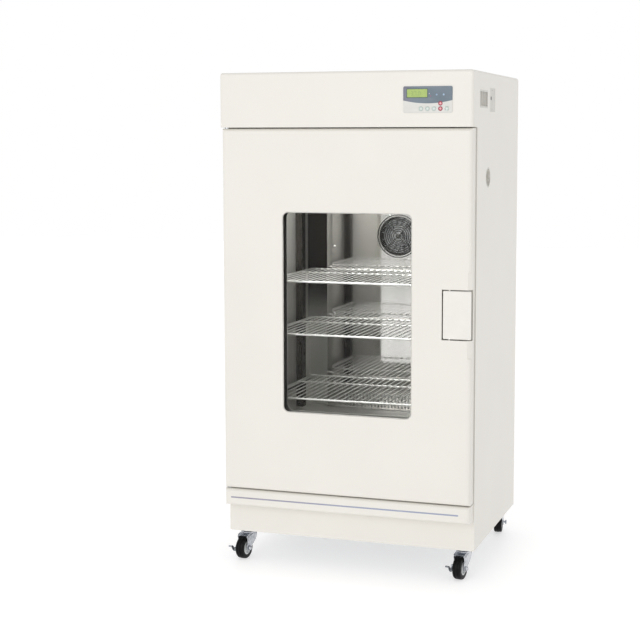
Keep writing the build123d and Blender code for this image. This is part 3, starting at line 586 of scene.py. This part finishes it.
class OVEN_OT_cabinet(bpy.types.Operator):
    """Powder coat of the cabinet's outer sheet metal, and the line printed along its lower trim"""
    bl_idname = "oven.cabinet"
    bl_label = "Cabinet and trim"

    def execute(self, context):
        coat(powder_coat(), "left_side_panel", "right_side_panel", "top_panel", "head_front_panel",
             "front_frame", "lower_trim")
        coat(plain("galvanised_sheet"), "base_pan")
        coat(plain("zinc_plated_steel"), "hinge_brackets")

        # Screen-printed ink: a thin matt film that goes from grey-violet to grey-blue along the trim.
        colours = context.scene.oven_colours
        ink = finish("screen_printed_ink", colours.stripe_left, 0.94, 0.5, 0.05, 30.0, 1.5, 0.005)
        across = object_axes(ink.node_tree)["X"]
        left, right = [x * MM for x in STRIPE_FADE]
        share = add_node(ink.node_tree, "ShaderNodeMapRange", {"Value": across, "From Min": left,
                                                               "From Max": right})
        colour_over(ink, share, colours.stripe_right)
        line = rounded(STRIPE_X, STRIPE_Z, 1.8)
        stripe = drawing("trim_stripe", [line], 0.3, 0.1, on_front(DOOR_FRONT, 0.3))
        file_piece(stripe, "cabinet", "panel_plastic", ink)
        return {"FINISHED"}


class OVEN_OT_door(bpy.types.Operator):
    """Skin, glass, seals, inner sheet and screws of the door"""
    bl_idname = "oven.door"
    bl_label = "Door"

    def execute(self, context):
        coat(powder_coat(), "door_skin")
        coat(plain("bead_blasted_stainless"), "door_inner_panel")
        coat(toughened_glass(), "window_panes")
        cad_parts["window_panes"].visible_shadow = False
        coat(plain("silicone_gasket"), "door_gasket")
        coat(plain("mineral_wool"), "door_insulation")
        coat(plain("turned_brass"), "hinge_bushes")

        edge = rounded(grown(WINDOW_X, -1.2), grown(WINDOW_Z, -1.2), WINDOW_ROUND - 1.2, 8)
        bead = tube("window_bead", [(x, -300.4, z) for x, z in edge], 1.5, closed=True)
        file_piece(bead, "door", "seal_rubber", plain("silicone_bead"))

        zinc = plain("zinc_plated_steel")
        heads = [(x, DOOR_BACK, z) for x in (-347.0, 347.0) for z in (300.0, 540.0, 930.0, 1190.0)]
        heads += [(x, DOOR_BACK, z) for x in (-200.0, 0.0, 200.0) for z in (243.0, 1255.0)]
        screws("door_screws", heads, (-90, 0, 0), "door", "zinc", zinc, 3.2)
        return {"FINISHED"}


class OVEN_OT_handle(bpy.types.Operator):
    """Moulded paddle with rounded edges on its two trunnions, the pocket behind it and the pin it pushes"""
    bl_idname = "oven.handle"
    bl_label = "Handle"

    def execute(self, context):
        colour = context.scene.oven_colours.handle
        # Spark-textured ABS, matched to the paint: an off-white with a slightly broader sheen
        abs_white = finish("textured_abs_white", colour, 0.97, 0.45, 0.05, 60.0, 0.9, 0.02, **PLASTIC)
        # The handle's pocket is greyed to stand for the shade inside it: painted shade.
        coat(plain("textured_abs_painted_shade"), "handle_cup")
        coat(plain("zinc_plated_steel"), "release_pin")

        plate = drawing("plate", [rounded(PADDLE_X, PADDLE_Z, 3.0, 4)], 7.0, 2.6, on_front(-295.0, 7.0))
        x, y = PADDLE_AXIS
        low, high = grown(PADDLE_Z, 5.5)
        pivot = turned("pivot", [(low, 0.01), (low, 2.2), (low + 0.4, 2.5), (high - 0.4, 2.5), (high, 2.2),
                                 (high, 0.01)], (x, y, 0), "Z", 20)
        paddle = joined("paddle_moulding", [plate, pivot])
        file_piece(paddle, "paddle", "handle_plastic", abs_white, "handle_paddle")
        return {"FINISHED"}


class OVEN_OT_chamber(bpy.types.Operator):
    """Stainless chamber, air panel, shelf supports, shelves and wool jacket"""
    bl_idname = "oven.chamber"
    bl_label = "Chamber"

    def execute(self, context):
        coat(plain("bright_annealed_stainless"), "duct_panel")
        # The shelf supports and runners take a stainless darkened with painted shade.
        coat(plain("shade_darkened_stainless"), "shelf_uprights", "shelf_runners")
        coat(plain("electropolished_wire"), "upper_shelf", "middle_shelf", "lower_shelf", "temperature_probe")
        coat(plain("mineral_wool"), "chamber_insulation")

        # The liner is mill-finish sheet with painted shade: its back wall above the outlet slots is darkened
        # to stand for the shade in the gap behind the air panel.
        liner = plain("mill_finish_stainless").copy()
        liner.name = "liner_painted_shade"
        tree = liner.node_tree
        axes = object_axes(tree)
        back, above = [
            add_node(tree, "ShaderNodeMapRange", {"Value": axes[axis], "From Min": low * MM,
                                                  "From Max": high * MM}, interpolation_type="SMOOTHSTEP")
            for axis, (low, high) in (("Y", LINER_BACK), ("Z", SHADED_Z))]
        share = add_node(tree, "ShaderNodeMath", {0: back, 1: above}, operation="MULTIPLY")
        colour_over(liner, share, linear("2A2723"))
        coat(liner, "chamber_liner")

        wire = plain("electropolished_wire")
        heads = [(x, DUCT_FRONT, z) for x in (-190.0, 190.0) for z in (470.0, 690.0, 905.0, 1165.0)]
        screws("air_panel_screws", heads, (90, 0, 0), "cabinet", "polished_wire", wire)
        return {"FINISHED"}


class OVEN_OT_fan(bpy.types.Operator):
    """Fan, its wire guard, heater and motor"""
    bl_idname = "oven.fan"
    bl_label = "Fan"

    def execute(self, context):
        sizes = context.scene.oven_sizes
        coat(plain("die_cast_aluminium"), "fan_wheel")
        coat(plain("baked_enamel"), "fan_motor")
        coat(plain("oxidised_sheath"), "heating_element")
        wire = plain("blackened_wire")
        rings = grow("rings", bpy.data.meshes.new("rings"), ring_tree(), wire, Count=sizes.guard_rings,
                     Wire=sizes.guard_wire)
        rings.data.transform(moved(FAN_X, DUCT_FRONT - 1.6, FAN_Z))
        parts = [rings]
        for angle in (math.radians(45), math.radians(135)):
            c, s = GUARD_REACH * math.cos(angle), GUARD_REACH * math.sin(angle)
            parts.append(tube("spoke", [(FAN_X - c, DUCT_FRONT - 1.7, FAN_Z - s),
                                        (FAN_X + c, DUCT_FRONT - 1.7, FAN_Z + s)], 1.7))
        parts.append(turned("hub", [(0, 0.01), (0, 8), (-1.2, 8), (-2, 6.5), (-2.2, 0.01)],
                            (FAN_X, DUCT_FRONT - 1.0, FAN_Z), "Y", 24))
        guard = joined("fan_guard_wires", parts)
        guard.data.shade_smooth()
        guard.data.set_sharp_from_angle(angle=math.radians(50))
        file_piece(guard, "cabinet", "dark_wire", wire, "fan_guard")
        return {"FINISHED"}


def printed_foil():
    """Screen-printed polyester foil: blue-grey above a dipping curve, pale grey below it, with fine tooth."""
    colours = bpy.context.scene.oven_colours
    foil = finish("printed_foil", colours.field_dark, 0.95, 0.36, 0.05, 15.0, 0.8, 0.01, IOR=1.6)
    tree = foil.node_tree
    axes = object_axes(tree)
    blue, violet = FIELD_VIOLET
    share = add_node(tree, "ShaderNodeMapRange", {"Value": axes["X"], "From Min": blue * MM,
                                                  "From Max": violet * MM}, interpolation_type="SMOOTHSTEP")
    colour_over(foil, share, linear("696B7A"))
    away = add_node(tree, "ShaderNodeMath", {0: axes["X"], 1: sum(BEZEL_X) / 2 * MM}, operation="SUBTRACT")
    square = add_node(tree, "ShaderNodeMath", {0: away, 1: 2.0}, operation="POWER")
    curve = add_node(tree, "ShaderNodeMath", {0: square, 1: FIELD_CURVE, 2: FIELD_LOW * MM},
                     operation="MULTIPLY_ADD")
    height = add_node(tree, "ShaderNodeMath", {0: axes["Z"], 1: curve}, operation="SUBTRACT")
    lower = add_node(tree, "ShaderNodeMapRange", {"Value": height, "From Min": 0.0003, "From Max": -0.0003})
    colour_over(foil, lower, colours.field_light)
    return foil


# The lit bars of the figures on the seven-bar display, and where each bar runs on a unit cell
FIGURES = {"3": "abgcd", "7": "abc", "0": "abcdef"}
BARS = {"a": ((0, 2), (1, 2)), "b": ((1, 1), (1, 2)), "c": ((1, 0), (1, 1)), "d": ((0, 0), (1, 0)),
        "e": ((0, 0), (0, 1)), "f": ((0, 1), (0, 2)), "g": ((0, 1), (1, 1))}


def figure_bars(figure, x, z, cell):
    """Outlines of a figure's lit bars; x and z are its lower left corner, and cell the length of a bar."""
    half, gap = 0.5, 0.4
    outlines = []
    for bar in FIGURES[figure]:
        start, end = [Vector((x + u * cell, z + v * cell)) for u, v in BARS[bar]]
        along = (end - start).normalized()
        across = Vector((-along.y, along.x)) * half
        start, end = start + along * gap, end - along * gap
        inner = (start + along * half, end - along * half)
        corners = (start, inner[0] - across, inner[1] - across, end, inner[1] + across, inner[0] + across)
        outlines.append([tuple(c) for c in corners])
    return outlines


class OVEN_OT_controls(bpy.types.Operator):
    """Keypad with its printed foil, display, keys, lamps and circuit board"""
    bl_idname = "oven.controls"
    bl_label = "Controls"

    def execute(self, context):
        colours = context.scene.oven_colours
        face = OUTER_FRONT + 0.5
        holes = [circle(x, z, 6.1) for x, z in KEYS.values()]
        window = rounded(DISPLAY_X, DISPLAY_Z, 0.8, 2)
        plate = drawing("plate", [rounded(BEZEL_X, BEZEL_Z, 4.0), window, *holes], 1.5, 0.4,
                        on_front(face + 1.5, 1.5))
        body = drawing("body", [rounded(grown(BEZEL_X, -3), grown(BEZEL_Z, -3), 2.0), window, *holes], 8.0,
                       0.3, on_front(face + 9.5, 8.0))
        keypad = joined("keypad", [plate, body])
        file_piece(keypad, "cabinet", "panel_plastic", printed_foil(), "control_bezel")

        # Backlit liquid crystal: an even yellow-green glow with faint clouding
        crystal = finish("backlit_crystal", colours.display, 0.9, 0.25, 0.04, 9.0, 0.8, IOR=1.5,
                         Emission_Color=colours.display, Emission_Strength=0.08)
        coat(crystal, "display_lens")
        # A dark green ring round the display stands for the shade at the edge of its recess: painted shade.
        shade_outline = [rounded(grown(DISPLAY_X, 2.0), grown(DISPLAY_Z, 2.0), 1.8, 3), window]
        shade_ring = drawing("display_shade_ring", shade_outline, 0.5, 0.15, on_front(face, 0.5))
        file_piece(shade_ring, "cabinet", "panel_plastic", plain("display_shade_acrylic"))
        base, cell = 1360.0, 5.0
        bars = [circle(212.6, base, 0.8, 10)]
        for figure, x in (("3", 196.0), ("7", 205.0), ("0", 217.0)):
            bars += figure_bars(figure, x, base, cell)
        # Energised crystal: a darker green than the ground, almost without gloss of its own
        segments = finish("energised_crystal", linear("76904A"), linear("6D8642"), 0.4, 0.05, 5.0, 0.8)
        digits = drawing("display_digits", bars, 0.15, 0.0, on_front(OUTER_FRONT + 0.4, 0.15))
        file_piece(digits, "cabinet", "display_green", segments)

        for name, (x, z) in KEYS.items():
            # Two-shot moulded keys: a coloured ring stands around a paler, slightly dished middle.
            warm = name in WARM_KEYS
            tint, pale = ("red", "pink") if warm else ("grey", "white")
            ring_finish = finish(f"moulded_key_{tint}", colours.warm_key if warm else colours.cool_key, 0.94,
                                 0.38, 0.05, 8.0, 0.7, 0.01, **PLASTIC)
            cap_finish = finish(f"moulded_cap_{pale}", linear("E9AEB0" if warm else "D8DDD9"), 0.95, 0.4,
                                0.05, 8.0, 0.7, 0.01, **PLASTIC)
            ring = turned(f"{name}_ring", [
                (0.6, 3.3), (0.15, 3.6), (0, 4.3), (0, 5.1), (0.25, 5.65), (0.7, 5.8), (10.3, 5.8),
                (10.3, 6.8), (11.5, 6.8), (11.5, 2), (16.8, 2), (16.8, 0.01), (1.2, 0.01), (1.2, 3.3)],
                (x, OUTER_FRONT, z), "Y", 40)
            file_piece(ring, name, f"key_{tint}", ring_finish, name)
            cap = turned(f"{name}_middle", [(0.5, 0.01), (0.45, 2), (0.5, 2.8), (0.8, 3.2), (1.15, 3.2),
                                            (1.15, 0.01)], (x, OUTER_FRONT, z), "Y", 32)
            file_piece(cap, name, f"key_{tint}", cap_finish)

        lamps = {"power_lamp": (247.4, 1364.1, 1.6, "BCB2BC"), "heat_lamp": (251.3, 1357.3, 1.6, "A0657F"),
                 "fan_lamp": (268.1, 1361.2, 2.6, "8FA3B8"), "timer_lamp": (287.6, 1361.2, 2.6, "9DB3CA")}
        for name, (x, z, r, colour) in lamps.items():
            dome = turned(name, [(0.3, 0.01), (0.3, r), (0.0, r), (-0.25, r * 0.85), (-0.42, r * 0.5),
                                 (-0.48, 0.01)], (x, face, z), "Y", 20)
            # Frosted lamp lens: pale and faintly tinted, with a small soft highlight
            lens = finish(f"frosted_{name}", linear(colour), 0.93, 0.3, 0.04, 4.0, 0.6, IOR=1.49)
            file_piece(dome, "cabinet", "panel_plastic", lens)
        coat(plain("solder_masked_board"), "control_board")
        return {"FINISHED"}


class OVEN_OT_side_fittings(bpy.types.Operator):
    """Vent with fins and filter, service cover, reset button, cable port and cord gland"""
    bl_idname = "oven.side_fittings"
    bl_label = "Side fittings"

    def execute(self, context):
        grey = plain("textured_abs_grey")
        black = plain("moulded_nylon_black")
        coat(grey, "side_vent_grille")
        coat(black, "reset_button", "cable_gland")
        coat(plain("turned_ptfe"), "test_port_sleeve")

        fin = drawing("vent_fins", [rounded((-1.3, 1.3), grown(VENT_Z, -1.5), 0.5, 2)], 0.7, 0.2,
                      moved(SIDE - 4.6, VENT_Y[0] + 5.0, 0) @ about_z(40) @ TO_SIDE)
        count = context.scene.oven_sizes.vent_fins
        # The fins take a paler copy of the grille's plastic: painted light that offsets the shade between
        # them.
        pale = plain("textured_abs_painted_light")
        file_piece(row_of(fin, pale, count, (0, 4.6, 0)), "cabinet", "grille_plastic", pale)
        cloth = drawing("vent_filter", [rounded(grown(VENT_Y, -2), grown(VENT_Z, -2), 2.0)], 1.2, 0.3,
                        on_side(SIDE - 7.2))
        file_piece(cloth, "cabinet", "grille_plastic", plain("filter_cloth"))

        hole = circle(*RESET, 4.3)
        lid = drawing("lid", [rounded(PLATE_Y, PLATE_Z, 3.0), hole], 1.6, 0.5, on_side(SIDE - 1.2))
        pan = drawing("pan", [rounded(grown(PLATE_Y, -3), grown(PLATE_Z, -3), 2.0), hole], 1.4, 0.3,
                      on_side(SIDE - 2.5))
        box = drawing("box", [rounded((-102.0, -74.0), (1342.5, 1370.5), 2.0), hole], 27.0, 0.8,
                      on_side(SIDE - 16.5))
        cover = joined("service_cover", [lid, pan, box])
        file_piece(cover, "cabinet", "cabinet_paint", grey, "service_plate")
        places = [(SIDE - 1.55, -76.0, z) for z in (1325.5, 1378.5)]
        screws("service_screws", places, (0, 90, 0), "cabinet", "black_plastic", black, 3.0)
        collar = turned("reset_collar", [(-0.6, 4.3), (-0.3, 4.3), (-0.1, 4.5), (-0.1, 5.3), (-0.3, 5.6),
                                         (-0.6, 5.6)], (SIDE, *RESET), "X", 32)
        file_piece(collar, "cabinet", "black_plastic", black)
        return {"FINISHED"}


class OVEN_OT_rear(bpy.types.Operator):
    """Pressed louvres and screws of the rear cover"""
    bl_idname = "oven.rear"
    bl_label = "Rear cover"

    def execute(self, context):
        paint = powder_coat()
        coat(paint, "rear_cover")
        depth = context.scene.oven_sizes.louvre_depth / MM
        profile = [(0, 9), (depth * 0.5, 8), (depth * 0.86, 5), (depth, 0), (depth - 1, -4.5),
                   (depth - 1.9, -4.5), (depth - 1.2, 0), (depth * 0.74, 4.2), (depth * 0.4, 6.6), (0, 7.4)]
        hood = drawing("rear_louvres", [[(REAR + out, 229.0 + up) for out, up in profile]], 306.0, 0.0,
                       on_side(0.0))
        count, pitch = 8, 16.0
        file_piece(row_of(hood, paint, count, (0, 0, pitch)), "cabinet", "cabinet_paint", paint)

        zinc = plain("zinc_plated_steel")
        heads = [(x, REAR, z) for x in (-356.0, 356.0) for z in (110.0, 420.0, 760.0, 1080.0, 1405.0)]
        heads += [(x, REAR, z) for x in (-180.0, 0.0, 180.0) for z in (104.0, 1412.0)]
        screws("rear_cover_screws", heads, (-90, 0, 0), "cabinet", "zinc", zinc)
        return {"FINISHED"}


def pressed_fork(place):
    """Pressed fork: a channel over the wheel, two ribbed legs, the swivel's crown and the bolted axle."""
    path = flowing([(20, 73), (10, 75.4), (-8, 75.8), (-22, 75), (-31, 72.4), (-37, 68.6)], closed=False)
    section = [(-16.9, -7), (-16.9, -2.5), (-16, -0.7), (-13.5, 0.3), (-6, 0.6), (6, 0.6), (13.5, 0.3),
               (16, -0.7), (16.9, -2.5), (16.9, -7), (14.7, -7), (14.7, -3.4), (13.9, -2.2), (12.5, -1.8),
               (-12.5, -1.8), (-13.9, -2.2), (-14.7, -3.4), (-14.7, -7)]
    rings = []
    for i, (y, z) in enumerate(path):
        before, after = path[max(i - 1, 0)], path[min(i + 1, len(path) - 1)]
        run = Vector((after[0] - before[0], after[1] - before[1])).normalized()
        up = Vector((run.y, -run.x)) if run.x < 0 else Vector((-run.y, run.x))
        rings.append([(x, y + up.x * out, z + up.y * out) for x, out in section])
    parts = [skin("channel", rings, False, 40)]

    leg = flowing([(20.5, 75), (20.5, 67), (18, 57), (9, 46.5), (-4, 38.5), (-14, 31.5), (-19.5, 25.5),
                   (-27, 23), (-34, 24.5), (-38, 30.5), (-37.5, 38), (-35, 48), (-36, 60), (-37.5, 67),
                   (-31, 73), (-10, 75.5)])
    rib = flowing([(13, 70), (12, 61), (4, 51), (-8, 43.5), (-19, 40.5), (-28, 44), (-29.5, 56), (-24, 66),
                   (-6, 70.5)])
    for side in (-1, 1):
        parts.append(drawing("leg", [leg], 2.4, 0.5, on_side(side * (LEG_OUT - 1.3))))
        parts.append(drawing("rib", [rib], 1.6, 0.7, on_side(side * (LEG_OUT - 0.3))))
    parts.append(turned("crown", [(73, 0.01), (73, 21), (75, 22.6), (77.2, 22.6), (78.6, 20.8), (79.1, 15),
                                  (79.1, 0.01)], (0, 0, 0), "Z"))
    y, z = AXLE
    hexagon = circle(y, z, 7.5, 6)
    parts.append(drawing("nut", [hexagon], 4.6, 0.4, on_side(LEG_OUT + 2.3)))
    parts.append(turned("dome", [(17, 0.01), (17, 6), (21.6, 6), (23.6, 5.2), (25.2, 3.4), (25.9, 0.01)],
                        (0, y, z), "X", 24))
    parts.append(drawing("bolt_head", [hexagon], 4.0, 0.4, on_side(-24.0)))
    axle = [(-25.5, 0.01), (-25.5, 3.9), (17.5, 3.9), (17.5, 0.01)]
    parts.append(turned("axle", axle, (0, y, z), "X", 20))
    return joined(f"{place}_pressed_fork", parts)


def brake_pedal(place):
    """Brake lever: a ring on the axle, a curved arm and a thin toe tab that curls up at its outer end."""
    y, z = AXLE
    outline = flowing([(-20.5, 32.5), (-23.5, 39.5), (-31, 40.2), (-37.5, 36), (-46, 35), (-54, 38),
                       (-59.5, 43.4), (-67, 43.4), (-63.5, 34), (-56, 26.5), (-46, 22.5), (-34, 24),
                       (-24, 25.5)])
    arm = drawing("arm", [outline, circle(y, z, 4.2, 20)], 2.2, 0.5, on_side(-20.3))
    toe = flowing([(-19.2, -59), (-19.2, -67), (-19.6, -73.5), (-25, -74), (-28.4, -71), (-29, -66),
                   (-28.4, -61.5), (-25, -59.2)])
    tab = drawing("tab", [toe], 1.8, 0.5, moved(0, 0, 42.5))
    curl_start, curl_size = -22.0 * MM, 30.0 * MM
    for vertex in tab.data.vertices:
        vertex.co.z += max(0.0, curl_start - vertex.co.x) ** 2 / curl_size
    return joined(f"{place}_brake_pedal", [arm, tab])


class OVEN_OT_casters(bpy.types.Operator):
    """Pressed forks, bolted plates, grooved tyres, hubs and brake pedals"""
    bl_idname = "oven.casters"
    bl_label = "Casters"

    def execute(self, context):
        zinc = plain("zinc_plated_steel")
        rubber = plain("moulded_rubber")
        coat(zinc, "caster_plates")
        bolts = []
        tread = [(-12.5, 20), (-12.5, 27.5), (-11.6, 30.4), (-9.5, 31.9), (-5.4, 32.4), (-5, 31.2),
                 (-3.8, 31.2), (-3.4, 32.5), (3.4, 32.5), (3.8, 31.2), (5, 31.2), (5.4, 32.4), (9.5, 31.9),
                 (11.6, 30.4), (12.5, 27.5), (12.5, 20)]
        for place, (x, y, turn) in CASTERS.items():
            fork = pressed_fork(place)
            tyre = turned(f"{place}_grooved_tyre", tread, (0, *AXLE), "X", 64)
            moving = [(fork, "caster", "zinc", zinc, "fork"), (tyre, "wheel", "tyre_rubber", rubber, "tyre")]
            if place in BRAKED:
                moving.append((brake_pedal(place), "brake", "zinc", zinc, "brake_lever"))
            for piece, body, slot, material, replaced in moving:
                piece.data.transform(moved(x, y, 0) @ about_z(turn))
                file_piece(piece, f"{place}_{body}", slot, material, f"{place}_{replaced}")
            coat(plain("moulded_nylon_natural"), f"{place}_hub")
            bolts += [(x + dx, y + dy, 85.0) for dx in (-23, 23) for dy in (-23, 23)]
        screws("caster_bolts", bolts, (180, 0, 0), "cabinet", "zinc", zinc)
        return {"FINISHED"}


class OVEN_OT_stage(bpy.types.Operator):
    """White floor and room, the lamps and the camera"""
    bl_idname = "oven.stage"
    bl_label = "Studio stage"

    def execute(self, context):
        settings = context.scene.oven_stage

        # The room is white at eye height and dimmer overhead, so that bright metal has tones to show.
        world = bpy.data.worlds.new("studio_room")
        world.use_nodes = True
        tree = world.node_tree
        tree.nodes.clear()
        way = add_node(tree, "ShaderNodeTexCoord").outputs["Generated"]
        height = add_node(tree, "ShaderNodeSeparateXYZ", {"Vector": way}).outputs["Z"]
        strength = add_node(tree, "ShaderNodeMapRange", {
            "Value": height, "From Min": 0.2, "From Max": 0.8, "To Min": settings.walls,
            "To Max": settings.ceiling}, interpolation_type="SMOOTHSTEP")
        light = add_node(tree, "ShaderNodeBackground", {"Color": (1, 1, 1), "Strength": strength})
        add_node(tree, "ShaderNodeOutputWorld", {"Surface": light})
        context.scene.world = world

        floor = bpy.data.meshes.new("floor")
        floor.from_pydata([(-12, -12, 0), (12, -12, 0), (12, 12, 0), (-12, 12, 0)], [], [(0, 1, 2, 3)])
        ground = object_from("floor", floor)
        # Opal acrylic, lit from below: a white floor on which shadows stay pale
        acrylic = finish("lit_opal_acrylic", linear("C4C3C3"), linear("C2C1C1"), 0.6, 0.03, 900.0, 30.0,
                         Emission_Color=(1, 1, 1), Emission_Strength=settings.floor_glow)
        ground.data.materials.append(acrylic)

        for name, spot, aim, size, power in (
                ("key_light", (-0.9, -6.3, 2.6), (0, 0, 0.8), (3.0, 3.0), settings.key_power),
                ("chamber_light", (0, -0.05, 1.17), (0, -0.05, 0.6), (0.5, 0.3), settings.chamber_power)):
            lamp = bpy.data.lights.new(name, "AREA")
            lamp.shape = "RECTANGLE"
            lamp.size, lamp.size_y = size
            lamp.energy = power
            holder = object_from(name, lamp)
            holder.location = spot
            holder.rotation_euler = (Vector(aim) - Vector(spot)).to_track_quat("-Z", "Y").to_euler()
            holder.visible_camera = False

        camera = bpy.data.cameras.new("camera")
        camera.lens = 78.99
        camera.sensor_width = 36.0
        camera.shift_x = -0.05625
        camera.shift_y = -0.0592
        stand = object_from("camera", camera)
        stand.location = (1.24264, -4.02066, 1.2368)
        stand.rotation_euler = (math.radians(84.25), 0, math.radians(17.97))
        context.scene.camera = stand
        context.scene.view_settings.view_transform = "Standard"
        return {"FINISHED"}


class OVEN_PT_panel(bpy.types.Panel):
    """Lists the oven's pieces in the sidebar"""
    bl_idname = "OVEN_PT_panel"
    bl_label = "Forced convection oven"
    bl_space_type = "VIEW_3D"
    bl_region_type = "UI"
    bl_category = "Oven"

    def draw(self, context):
        for step in STEPS:
            self.layout.operator(step.bl_idname)


STEPS = (OVEN_OT_cabinet, OVEN_OT_door, OVEN_OT_handle, OVEN_OT_chamber, OVEN_OT_fan, OVEN_OT_controls,
         OVEN_OT_side_fittings, OVEN_OT_rear, OVEN_OT_casters, OVEN_OT_stage)
GROUPS = {"oven_colours": OvenColours, "oven_sizes": OvenSizes, "oven_stage": OvenStage}


def register():
    for cls in (*GROUPS.values(), *STEPS, OVEN_PT_panel):
        bpy.utils.register_class(cls)
    for name, group in GROUPS.items():
        setattr(bpy.types.Scene, name, PointerProperty(type=group))


def unregister():
    for name in GROUPS:
        delattr(bpy.types.Scene, name)
    for cls in reversed((*GROUPS.values(), *STEPS, OVEN_PT_panel)):
        bpy.utils.unregister_class(cls)


def main():
    register()
    for step in STEPS:
        getattr(bpy.ops.oven, step.bl_idname.split(".")[1])()


if __name__ == "__main__":
    main()
